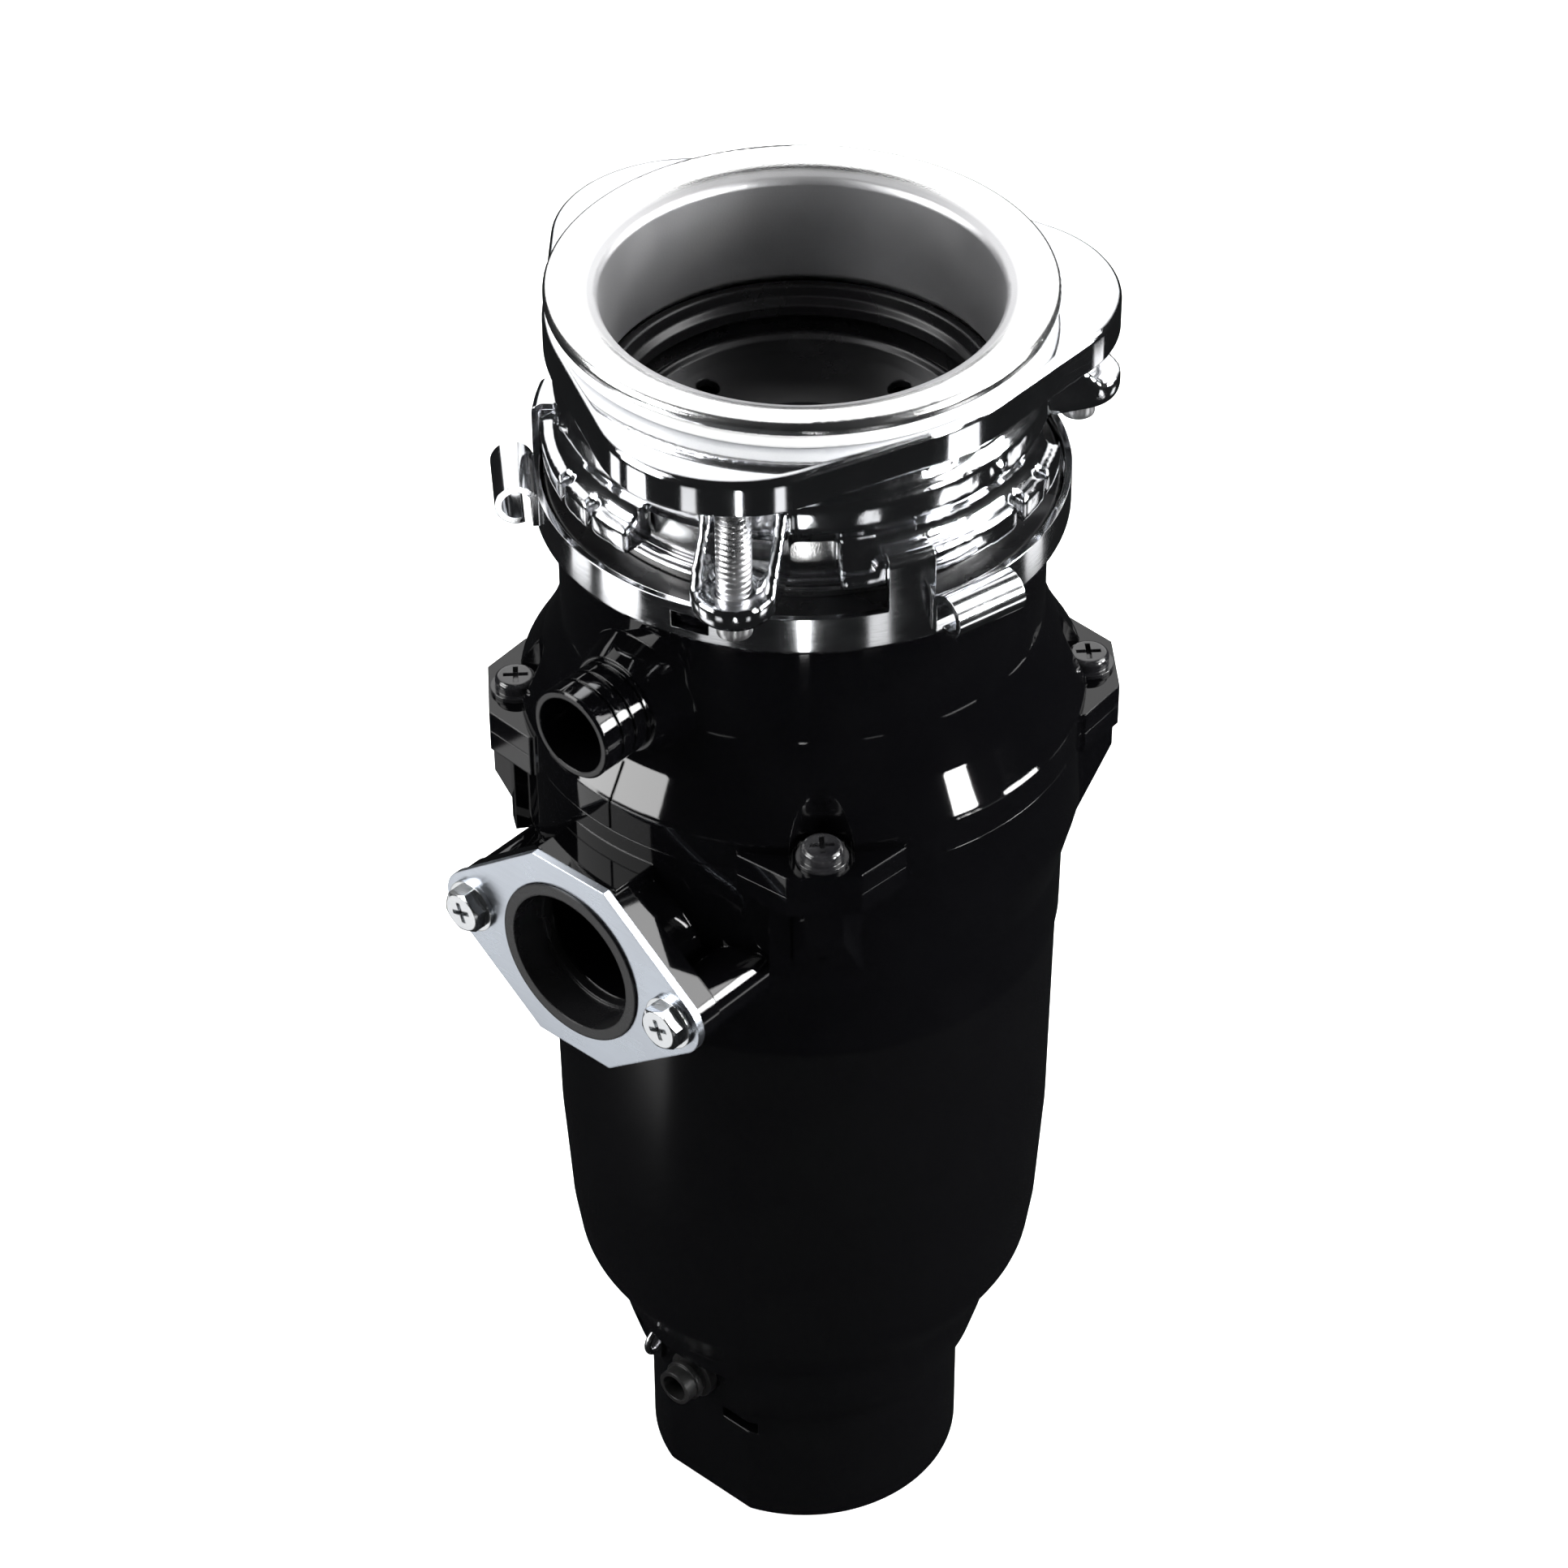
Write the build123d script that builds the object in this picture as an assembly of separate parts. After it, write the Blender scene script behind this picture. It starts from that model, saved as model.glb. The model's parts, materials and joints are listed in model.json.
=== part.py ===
from build123d import *
import math
import os

# Kitchen garbage disposal with a three-bolt sink mount.
# Millimetres. +Z up, origin at the centre of the base face, drain outlet towards -Y.

# Overall stack, heights above the base face
TOTAL_H = 355.0
PART_Z = 239.0          # parting face between the two housing halves
SEAM_Z = 180.6          # lower housing sits on the motor shell here
CAP_TOP_Z = 37.0        # top of the bottom cap
AXIS_R_GAP = 0.05       # running clearance on radius, shafts and pins
SLIDE_GAP = 0.05        # clearance on radius, sliding screws and the button

# Sink flange
RIM_R = 57.15
RIM_T = 3.4
THROAT_R = 45.0
FLANGE_WALL = 1.2
SOCKET_R = 48.2         # widened lower end of the tube, inside radius
SOCKET_Z = TOTAL_H - 49.7
THROAT_Z = TOTAL_H - 28.7      # lower end of the throat's straight wall
BEAD_R = 51.6
GASKET_T = 3.6
GASKET_R = 56.4

# Backup flange
PLATE_T = 9.0
PLATE_WAIST_R = 57.5
LOBE_AT_R = 40.0
LOBE_R = 31.5
LOBE_ANGLE = -69.5

# Mounting ring casting
RING_R_IN = 50.0
RING_TOP_Z = TOTAL_H - 18.5
RAMP_TOP_Z = TOTAL_H - 36.6
RAMP_BOT_Z = TOTAL_H - 43.5
RAMP_R = 58.8
RAMP_START = -40.5
RAMP_SWEEP = 71.0
RAMP_LEAD = 7.5
BOSS_AT_R = 66.0
BOSS_R = 9.5
BOSS_ANGLE = -61.5

# Clamp screws
SCREW_R = 4.0
SCREW_PITCH = 1.25
SCREW_BOT_Z = TOTAL_H - 49.0

# Snap ring
SNAP_WIRE_R = 1.2
SNAP_GAP_DEG = 14.0

# Lock ring
LOCK_R = 61.0
LOCK_T = 1.6
LOCK_BOT_Z = TOTAL_H - 58.5
LOCK_BAND_H = 10.0
LOCK_LIP_R = 56.9
TAB_ANGLE = -25.5
TAB_SWEEP = 10.4
TAB_TOP_Z = TOTAL_H - 34.6
TAB_REACH_R = 55.9
EAR_ANGLE = -12.5
SLOT_ANGLE = -72.5
EAR_LEN = 18.0
EAR_R = 5.0
EAR_AT_R = 65.2

# Housing
NECK_R = 56.0
NECK_BORE_R = 53.2
COLLAR_R = 58.9
COLLAR_TOP_Z = TOTAL_H - 52.0
BODY_R = 66.1
CHAMBER_R = BODY_R - 8.5
SHOULDER_Z = PART_Z + 11.0
LUG_AT_R = BODY_R + 0.9
LUG_OUT_R = BODY_R + 7.4
LUG_T = 5.5
LUG_W_OUT = 17.0
LUG_W_IN = 38.0
COLUMN_W_OUT = 8.0      # posts under the lugs of the lower half
COLUMN_W_IN = 19.0
WEB_ANGLE = -53.0       # webs between the drain's bolts and the lugs
WEB_W = 5.0
CONE_TOP_Z = PART_Z + 17.5
CONE_BOT_Z = PART_Z + 8.0
WITNESS_W = 0.5
SEAL_R = BODY_R - 4.3
SEAL_W = 2.4
SEAL_H = 1.8

# Dishwasher inlet
INLET_Z = PART_Z + 34.0
INLET_R = 11.1
INLET_BORE_R = 9.3
INLET_REACH = BODY_R + 11.7

# Drain outlet
DRAIN_Z = SEAM_Z + 28.1
DRAIN_FACE = BODY_R + 12.4
DRAIN_BORE_R = 16.5
DRAIN_SEAT_R = 20.5
DRAIN_SEAT_D = 9.0
DRAIN_PLATE_T = 2.0
DRAIN_H = 52.6
DRAIN_FLAT_W = 22.0
DRAIN_BOLT_X = 31.0
DRAIN_END_R = 8.5
DRAIN_BOLT_R = 3.0

# Grinding parts
GRIND_Z = PART_Z - 11.0
GRIND_H = 22.0
GRIND_R_IN = CHAMBER_R - 3.8
TABLE_R = GRIND_R_IN - 1.2
TABLE_Z = PART_Z - 10.0
TABLE_T = 2.5
PIVOT_AT_R = 30.0
PIVOT_R = 4.0

# Motor
PLATE_R = BODY_R - 10.5  # motor end plate
END_SCREW_AT_R = BODY_R - 16.1
FLOOR_Z = SEAM_Z + 5.8  # underside of the drain chamber's floor
BUSH_Z = SEAM_Z + 3.4
SHAFT_R = 6.0
BUSH_R = 11.0
CAN_R = 46.5
CAN_WALL = 2.5
CAN_BOT_Z = 68.0
CAN_TOP_Z = SEAM_Z - 8.0
MAGNET_R_IN = 37.6
CORE_R = 36.8
CORE_Z = 102.0
CORE_H = 52.0
SLOTS = 12
COMM_R = 13.0
COMM_Z = 80.0
COMM_H = 13.0

# Bottom cap
CAP_R = 39.6
CAP_FLAT = 37.2
CAP_WALL = 2.6
CAP_EDGE_R = 2.0
NOTCH_FLAT = 41.0
CAP_SCREW_ANGLES = (30, 90, 150)
PAD_Z = 40.5            # screw pads of the shell meet the cap's posts here
BUTTON_XY = (14.0, -12.0)
GLAND_Z = 46.0
GLAND_BORE_R = 3.6
BUTTON_R = 5.0


def turned(points, sweep=360.0):
    """Solid of revolution about Z from (r, z) or (r, z, corner radius) points."""
    face = Face(Wire.make_polygon([(p[0], 0, p[1]) for p in points], close=True))
    for p in points:
        if len(p) == 3:
            corner = face.vertices().sort_by_distance((p[0], 0, p[1]))[0]
            face = face.fillet_2d(p[2], [corner])
    return revolve(face, Axis.Z, sweep)


def tube(r_out, r_in, z0, z1):
    """Plain ring between two radii and two heights."""
    return turned([(r_in, z0), (r_out, z0), (r_out, z1), (r_in, z1)])


def rod(r, z0, z1, x=0.0, y=0.0):
    """Upright cylinder."""
    return Pos(x, y, (z0 + z1) / 2) * Cylinder(r, z1 - z0)


def block(x0, x1, y0, y1, z0, z1):
    """Box given by its two corners."""
    centre = Pos((x0 + x1) / 2, (y0 + y1) / 2, (z0 + z1) / 2)
    return centre * Box(x1 - x0, y1 - y0, z1 - z0)


def rod_y(r, y0, y1, x=0.0, z=0.0):
    """Cylinder lying along Y."""
    return Pos(x, (y0 + y1) / 2, z) * Rot(90, 0, 0) * Cylinder(r, y1 - y0)


def at_angle(angle, shape):
    """The shape turned about Z."""
    return Rot(0, 0, angle) * shape


def polar(r, angle):
    """Plan position at a radius and an angle in degrees."""
    return r * math.cos(math.radians(angle)), r * math.sin(math.radians(angle))


def radial_plate(points, width, offset=0.0):
    """Upright plate in the XZ plane from (r, z) points, extruded across Y."""
    face = Face(Wire.make_polygon([(p[0], 0, p[1]) for p in points], close=True))
    return Pos(0, offset + width / 2, 0) * extrude(face, width, dir=(0, -1, 0))


def cross_recess(r, depth, z_top):
    """Cross-shaped driver recess cut down from z_top."""
    arm = block(-r, r, -r * 0.2, r * 0.2, z_top - depth, z_top + 1)
    return arm + Rot(0, 0, 90) * arm


# Sink mount

def make_sink_flange():
    z_rim = TOTAL_H - RIM_T
    r_out = THROAT_R + FLANGE_WALL
    s_out = SOCKET_R + FLANGE_WALL
    return turned([
        (RIM_R, z_rim, 0.8), (RIM_R, TOTAL_H, 1.6), (49.5, TOTAL_H - 1.2, 6.0),
        (THROAT_R, TOTAL_H - 3.0, 1.8), (THROAT_R, THROAT_Z, 1.5),
        (SOCKET_R, THROAT_Z - 3.2, 1.5), (SOCKET_R, SOCKET_Z), (BEAD_R, SOCKET_Z, 0.6),
        (BEAD_R, SOCKET_Z + 2.6, 0.6), (s_out, SOCKET_Z + 2.6),
        (s_out, THROAT_Z - 2.2, 1.5), (r_out, THROAT_Z + 1.0, 1.5), (r_out, z_rim)])


def make_sink_gasket():
    z1 = TOTAL_H - RIM_T
    z0 = z1 - GASKET_T
    r_in = THROAT_R + FLANGE_WALL + 0.4
    return turned([(r_in, z0), (GASKET_R, z0, 1.2), (GASKET_R, z1, 0.6), (r_in, z1)])


def make_backup_flange():
    z1 = TOTAL_H - RIM_T - GASKET_T
    rings = [Edge.make_circle(PLATE_WAIST_R)]
    for k in range(3):
        x, y = polar(LOBE_AT_R, LOBE_ANGLE + 120 * k)
        rings.append(Pos(x, y, 0) * Edge.make_circle(LOBE_R))
    plan = make_hull(rings)
    plate = Pos(0, 0, z1 - PLATE_T) * extrude(plan, PLATE_T)
    edges = plate.edges().group_by(Axis.Z)
    plate = fillet(edges[-1], 1.8)
    plate = chamfer(plate.edges().group_by(Axis.Z)[0], 0.6)
    return plate - rod(THROAT_R + FLANGE_WALL + 0.6, z1 - PLATE_T - 1, z1 + 1)


def ring_body():
    """Ring with three locking ramps; the ramp flange is cut away between them."""
    body = turned([
        (RING_R_IN, RAMP_BOT_Z), (RAMP_R, RAMP_BOT_Z, 0.8), (RAMP_R, RAMP_TOP_Z, 1.0),
        (55.6, RAMP_TOP_Z, 1.2), (54.2, RAMP_TOP_Z + 4.4), (55.8, RAMP_TOP_Z + 7.6, 1.0),
        (55.8, RING_TOP_Z - 4.0, 1.5), (53.6, RING_TOP_Z - 2.5, 0.6), (53.6, RING_TOP_Z, 0.8),
        (RING_R_IN, RING_TOP_Z)])
    low, high = RAMP_BOT_Z - 1.5, RAMP_TOP_Z + 3.6
    gap = turned([(RING_R_IN - 1, low), (60.0, low), (60.0, high), (RING_R_IN - 1, high)],
                 120 - RAMP_SWEEP)
    lead = turned([(56.4, RAMP_TOP_Z - 3.0), (60.0, RAMP_TOP_Z - 3.0),
                   (60.0, RAMP_TOP_Z + 1), (56.4, RAMP_TOP_Z + 1)], RAMP_LEAD)
    for k in range(3):
        start = RAMP_START + 120 * k
        body -= at_angle(start + RAMP_SWEEP, gap)
        body -= at_angle(start, lead)
        for angle in (47.0, 58.5):
            x, y = polar(57.0, start + angle)
            body -= rod(1.5, RAMP_BOT_Z - 1, RAMP_TOP_Z + 1, x, y)
    return body


def boss_arm():
    """One screw boss with its floor and two side ribs, along +X."""
    floor = block(RING_R_IN + 1.5, BOSS_AT_R, -BOSS_R, BOSS_R, RAMP_BOT_Z,
                  RAMP_BOT_Z + 4.5)
    cup = rod(BOSS_R, RAMP_BOT_Z, RAMP_BOT_Z + 6.5, BOSS_AT_R, 0)
    arm = floor + cup
    bottom = arm.edges().group_by(Axis.Z)[0].filter_by(GeomType.CIRCLE)
    arm = fillet(bottom, 3.0)
    foot = RAMP_BOT_Z + 1.5
    rib = [(RING_R_IN + 1.5, foot), (BOSS_AT_R, foot), (BOSS_AT_R + 3.0, foot + 5.0),
           (60.0, foot + 14.0), (54.5, RING_TOP_Z - 2.0), (RING_R_IN + 1.5, RING_TOP_Z - 2.0)]
    for side in (-1, 1):
        arm += radial_plate(rib, 2.6, side * (BOSS_R - 1.3))
    return arm


def make_mounting_ring():
    body = ring_body()
    for k in range(3):
        body += at_angle(BOSS_ANGLE + 120 * k, boss_arm())
        x, y = polar(55.4, RAMP_START + 42 + 120 * k)
        body += Pos(x, y, RAMP_TOP_Z + 10.6) * Sphere(1.9)
        x, y = polar(BOSS_AT_R, BOSS_ANGLE + 120 * k)
        body -= rod(SCREW_R + SLIDE_GAP, RAMP_BOT_Z - 2, RAMP_BOT_Z + 5.5, x, y)
        body -= Pos(x, y, RAMP_BOT_Z + 6.0) * Cone(SCREW_R + SLIDE_GAP, SCREW_R + 1.6, 1.4)
    return body


def make_clamp_screw(index):
    z1 = TOTAL_H - RIM_T - GASKET_T - PLATE_T
    z0 = SCREW_BOT_Z
    z_thread = RAMP_BOT_Z + 7.0
    depth = SCREW_PITCH * 0.5
    points = [(0, z0), (SCREW_R, z0 + 0.2)]
    turns = int((z1 - 2.0 - z_thread) / SCREW_PITCH)
    points.append((SCREW_R, z_thread))
    for k in range(turns):
        z = z_thread + k * SCREW_PITCH
        points.append((SCREW_R - depth, z + SCREW_PITCH * 0.5))
        points.append((SCREW_R, z + SCREW_PITCH))
    points += [(SCREW_R - 1.2, z1), (0, z1)]
    screw = turned(points)
    socket = extrude(RegularPolygon(2.3, 6), 4.0)
    screw -= Pos(0, 0, z0 - 0.01) * socket
    x, y = polar(BOSS_AT_R, BOSS_ANGLE + 120 * index)
    return Pos(x, y, 0) * screw


def make_snap_ring():
    r = SOCKET_R + FLANGE_WALL + SNAP_WIRE_R + 0.05
    z = SOCKET_Z + 2.6 + SNAP_WIRE_R
    wire = Plane.XZ * Pos(r, z) * Circle(SNAP_WIRE_R)
    return at_angle(100, revolve(wire, Axis.Z, 360 - SNAP_GAP_DEG))


def lock_ear():
    """Rolled ear: a strip curled outward and down, centred on +X."""
    z = LOCK_BOT_Z + 8.5
    outer = Pos(EAR_AT_R, z) * Circle(EAR_R)
    inner = Pos(EAR_AT_R, z) * Circle(EAR_R - LOCK_T)
    gap = Polygon((EAR_AT_R, z), (EAR_AT_R - 12, z), (EAR_AT_R - 12, z - 12),
                  (EAR_AT_R - 4.5, z - 12), align=None)
    leg = Pos(EAR_AT_R - EAR_R + LOCK_T / 2, z - 3) * Rectangle(LOCK_T, 6)
    plan = (outer - inner - gap) + leg
    solid = extrude(Plane.XZ * plan, EAR_LEN / 2, both=True)
    return solid


def make_lock_ring():
    r_in = LOCK_R - LOCK_T
    top = LOCK_BOT_Z + LOCK_BAND_H
    ring = turned([
        (LOCK_LIP_R, LOCK_BOT_Z), (LOCK_R, LOCK_BOT_Z, 1.3), (LOCK_R, TAB_TOP_Z, 2.8),
        (TAB_REACH_R, TAB_TOP_Z), (TAB_REACH_R, TAB_TOP_Z - LOCK_T),
        (r_in, TAB_TOP_Z - LOCK_T, 1.2), (r_in, LOCK_BOT_Z + LOCK_T, 0.6),
        (LOCK_LIP_R, LOCK_BOT_Z + LOCK_T)])
    between = turned([
        (TAB_REACH_R - 2, top), (LOCK_R + 2, top), (LOCK_R + 2, TAB_TOP_Z + 1),
        (TAB_REACH_R - 2, TAB_TOP_Z + 1)], 120 - TAB_SWEEP)
    slot = block(LOCK_R - 4, LOCK_R + 3, -4.5, 4.5, LOCK_BOT_Z + 3.2, LOCK_BOT_Z + 7.4)
    for k in range(3):
        ring -= at_angle(TAB_ANGLE + TAB_SWEEP / 2 + 120 * k, between)
    for k in range(3):
        ring += at_angle(EAR_ANGLE + 120 * k, lock_ear())
        ring -= at_angle(SLOT_ANGLE + 120 * k, slot)
    return ring


def make_mount_gasket():
    r = NECK_BORE_R - 0.1
    r_in = r - 2.7
    seat = COLLAR_TOP_Z + 8.5
    return turned([
        (r_in, COLLAR_TOP_Z - 15.0, 0.8), (r, COLLAR_TOP_Z - 15.0), (r, COLLAR_TOP_Z),
        (COLLAR_R - 0.3, COLLAR_TOP_Z, 0.7), (COLLAR_R - 0.3, SOCKET_Z, 0.7),
        (SOCKET_R - 0.1, SOCKET_Z), (SOCKET_R - 0.1, THROAT_Z - 4.2, 1.2),
        (45.6, THROAT_Z - 1.6, 0.6), (43.4, THROAT_Z - 1.4, 0.5),
        (42.8, THROAT_Z - 4.4, 1.0), (41.2, THROAT_Z - 5.6, 0.8), (41.2, seat + 6.4, 0.4),
        (43.6, seat + 5.2, 0.6), (43.6, seat), (38.9, seat, 0.5), (38.9, seat - 2.1, 0.5),
        (46.0, seat - 8.1, 3.0), (r_in, seat - 12.5, 2.0)])


def make_splash_baffle():
    z = COLLAR_TOP_Z + 2.2
    baffle = turned([
        (0, z), (20.0, z + 1.2), (36.0, z + 4.9), (39.6, z + 6.6), (40.8, z + 6.6),
        (40.8, z + 9.2, 0.5), (39.6, z + 9.2, 0.5), (38.8, z + 7.8), (35.6, z + 6.7),
        (20.0, z + 3.0), (0, z + 1.8)])
    for k in range(4):
        x, y = polar(31.0, 85.5 + 90 * k)
        baffle -= rod(2.7, z - 1, z + 12, x, y)
        x, y = polar(15.5, 128.5 + 90 * k)
        baffle -= rod(2.4, z - 1, z + 12, x, y)
    return baffle


# Housing

def lug_plan(w_out, w_in):
    """Trapezoid lug seen from above, along +X."""
    r_in, r_mid = BODY_R - 7.6, BODY_R - 1.6
    return Polygon((r_in, -w_in / 2), (r_mid, -w_in / 2), (LUG_OUT_R, -w_out / 2),
                   (LUG_OUT_R, w_out / 2), (r_mid, w_in / 2), (r_in, w_in / 2), align=None)


def make_inlet():
    """Barbed hose spigot with its root, along -Y."""
    y0 = -INLET_REACH
    root = Pos(0, -NECK_R - 1.0, INLET_Z) * Rot(90, 0, 0) * Cone(16.5, INLET_R + 0.8, 12)
    spigot = rod_y(INLET_R, y0, -50, 0, INLET_Z) + root
    for step in (5.3, 9.3, 13.3):
        y = y0 + step
        groove = rod_y(INLET_R + 2, y - 0.35, y + 0.35, 0, INLET_Z)
        groove -= rod_y(INLET_R - 0.5, y - 1, y + 1, 0, INLET_Z)
        spigot -= groove
    rim = spigot.edges().group_by(Axis.Y)[0].sort_by(SortBy.RADIUS)[-1]
    return chamfer([rim], 0.5)


def witness_line():
    """Shallow mould line down the shoulder, over the drain."""
    z = CONE_TOP_Z - 1.0
    depth = 0.35
    band = turned([
        (BODY_R - depth, PART_Z), (BODY_R + 1, PART_Z), (BODY_R + 1, z),
        (BODY_R - 5.2 - depth, z), (BODY_R - 0.6 - depth, CONE_BOT_Z + 0.8)])
    slot = block(-WITNESS_W / 2, WITNESS_W / 2, -BODY_R - 2, -BODY_R + 10, PART_Z + 0.2, z)
    return band & slot


def make_upper_housing():
    body = turned([
        (NECK_BORE_R, COLLAR_TOP_Z), (COLLAR_R, COLLAR_TOP_Z, 0.5),
        (COLLAR_R, COLLAR_TOP_Z - 4.4, 0.4), (NECK_R, COLLAR_TOP_Z - 4.4),
        (NECK_R, PART_Z + 29.0, 4.0), (BODY_R - 5.5, CONE_TOP_Z, 3.0),
        (BODY_R - 0.6, CONE_BOT_Z + 0.8, 0.6), (BODY_R, CONE_BOT_Z, 0.4), (BODY_R, PART_Z),
        (CHAMBER_R, PART_Z), (CHAMBER_R, SHOULDER_Z), (NECK_BORE_R, SHOULDER_Z)])
    for k in range(4):
        lug = Pos(0, 0, PART_Z) * extrude(lug_plan(LUG_W_OUT, LUG_W_IN), LUG_T)
        body += at_angle(45 + 90 * k, lug)
        pocket = rod(7.3, PART_Z + LUG_T, PART_Z + 36, LUG_AT_R, 0)
        body -= at_angle(45 + 90 * k, pocket)
        body -= at_angle(45 + 90 * k, rod(2.25, PART_Z - 1, SHOULDER_Z, LUG_AT_R, 0))
    body += make_inlet() - rod(NECK_BORE_R + 0.5, SHOULDER_Z, COLLAR_TOP_Z)
    body -= witness_line()
    body -= rod_y(INLET_BORE_R, -INLET_REACH - 1, -40, 0, INLET_Z)
    return body


def make_housing_seal():
    return tube(SEAL_R + SEAL_W / 2, SEAL_R - SEAL_W / 2, PART_Z - SEAL_H, PART_Z)


def make_body_screws():
    screws = []
    for k in range(4):
        z = PART_Z + LUG_T
        washer = rod(6.0, z, z + 1.0, LUG_AT_R, 0)
        head = rod(4.9, z + 1.0, z + 4.0, LUG_AT_R, 0)
        head = fillet(head.edges().group_by(Axis.Z)[-1], 1.3)
        shank = rod(2.0, PART_Z - 22, z + 1.0, LUG_AT_R, 0)
        cross = Pos(LUG_AT_R, 0, 0) * cross_recess(2.9, 1.6, z + 4.0)
        screws.append(at_angle(45 + 90 * k, washer + head + shank - cross))
    return screws


def drain_plan(inset=0.0):
    """Outline of the drain flange in X and Z: an octagon with rounded ends."""
    half = DRAIN_H / 2 - inset
    flat = DRAIN_FLAT_W / 2 - inset * 0.4
    corners = [Edge.make_line((-flat, half), (flat, half)),
               Edge.make_line((-flat, -half), (flat, -half))]
    for side in (-1, 1):
        end = Pos(side * DRAIN_BOLT_X, 0, 0) * Edge.make_circle(DRAIN_END_R - inset)
        corners.append(end)
    return make_hull(corners)


def drain_slab(y0, y1, inset=0.0):
    """The drain flange outline extruded between two Y positions."""
    plane = Plane(origin=(0, y1, DRAIN_Z), x_dir=(1, 0, 0), z_dir=(0, -1, 0))
    return extrude(plane * drain_plan(inset), y1 - y0)


def drain_body():
    """Outlet pipe, flange and the two bolt bosses, before boring."""
    body = drain_slab(-DRAIN_FACE, -DRAIN_FACE + 6.0, 0.6)
    body += rod_y(24.0, -DRAIN_FACE + 1, -BODY_R + 16, 0, DRAIN_Z)
    for side in (-1, 1):
        x = side * DRAIN_BOLT_X
        body += rod_y(DRAIN_END_R - 1.0, -DRAIN_FACE + 1, -BODY_R + 18, x, DRAIN_Z)
    body += block(-12.0, 12.0, -DRAIN_FACE + 1, -BODY_R + 11, DRAIN_Z, DRAIN_Z + DRAIN_H / 2 - 0.6)
    return body


def make_lower_housing():
    r_seat = BODY_R - 8.3
    body = turned([
        (CHAMBER_R, PART_Z), (BODY_R, PART_Z), (BODY_R - 0.1, PART_Z - 23.0, 14.0),
        (BODY_R - 4.1, SEAM_Z + 18.9, 8.0), (BODY_R - 4.3, SEAM_Z), (r_seat, SEAM_Z),
        (r_seat, FLOOR_Z), (BUSH_R + 4.5, FLOOR_Z), (BUSH_R + 4.5, BUSH_Z), (BUSH_R, BUSH_Z),
        (BUSH_R, BUSH_Z + 22.0), (BUSH_R + 4.5, BUSH_Z + 22.0, 1.5),
        (BUSH_R + 5.5, BUSH_Z + 12.0, 4.0), (CHAMBER_R - 2.8, FLOOR_Z + 3.6, 5.0),
        (CHAMBER_R - 2.8, GRIND_Z), (CHAMBER_R, GRIND_Z)])
    top = PART_Z - 3.0
    column = [(CHAMBER_R, top - 32.0), (BODY_R - 4.1, top - 32.0), (LUG_OUT_R - 0.6, top - 12.0),
              (LUG_OUT_R - 0.6, top), (CHAMBER_R, top)]
    wedge = Pos(0, 0, top - 32.0) * extrude(lug_plan(COLUMN_W_OUT, COLUMN_W_IN), 32.0)
    web = [(CHAMBER_R, top - 24.0), (BODY_R + 3.4, top - 24.0), (BODY_R + 3.4, top),
           (CHAMBER_R, top)]
    outside = rod(CHAMBER_R + 0.4, SEAM_Z, PART_Z + 1)
    for k in range(4):
        lug = Pos(0, 0, PART_Z - LUG_T) * extrude(lug_plan(LUG_W_OUT, LUG_W_IN), LUG_T)
        lug += radial_plate(column, COLUMN_W_IN) & wedge
        body += at_angle(45 + 90 * k, lug) - outside
        body -= at_angle(45 + 90 * k, rod(2.05, PART_Z - 23, PART_Z + 6, LUG_AT_R, 0))
    for angle in (WEB_ANGLE, 180 - WEB_ANGLE):
        body += at_angle(angle, radial_plate(web, WEB_W)) - outside
    body += drain_body() - outside
    front = -DRAIN_FACE - 12
    body -= rod_y(DRAIN_BORE_R, front, -BODY_R + 16, 0, DRAIN_Z)
    body -= rod_y(DRAIN_SEAT_R, front, -DRAIN_FACE + DRAIN_SEAT_D, 0, DRAIN_Z)
    for side in (-1, 1):
        x = side * DRAIN_BOLT_X
        body -= rod_y(DRAIN_BOLT_R + 0.05, front, -DRAIN_FACE + 16.5, x, DRAIN_Z)
    body -= tube(SEAL_R + SEAL_W / 2, SEAL_R - SEAL_W / 2, PART_Z - SEAL_H, PART_Z + 1)
    for k in range(4):
        x, y = polar(END_SCREW_AT_R, 90 * k)
        body -= rod(1.75, SEAM_Z - 1, FLOOR_Z + 2.0, x, y)
    return body


def make_drain_gasket():
    y0 = -DRAIN_FACE + DRAIN_SEAT_D
    rim = rod_y(DRAIN_SEAT_R, -DRAIN_FACE - 2.6, y0, 0, DRAIN_Z)
    ring = rim - rod_y(17.6, -DRAIN_FACE - 12, y0 + 1, 0, DRAIN_Z)
    lip = rod_y(DRAIN_SEAT_R, y0 - 2.4, y0, 0, DRAIN_Z) - rod_y(16.8, -DRAIN_FACE - 12, 0, 0, DRAIN_Z)
    return ring + lip


def make_drain_plate():
    plate = drain_slab(-DRAIN_FACE - DRAIN_PLATE_T, -DRAIN_FACE)
    front = -DRAIN_FACE - 12
    plate -= rod_y(DRAIN_SEAT_R + 0.1, front, -DRAIN_FACE + 8, 0, DRAIN_Z)
    for side in (-1, 1):
        x = side * DRAIN_BOLT_X
        plate -= rod_y(DRAIN_BOLT_R + 0.3, front, -DRAIN_FACE + 8, x, DRAIN_Z)
    return plate


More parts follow.
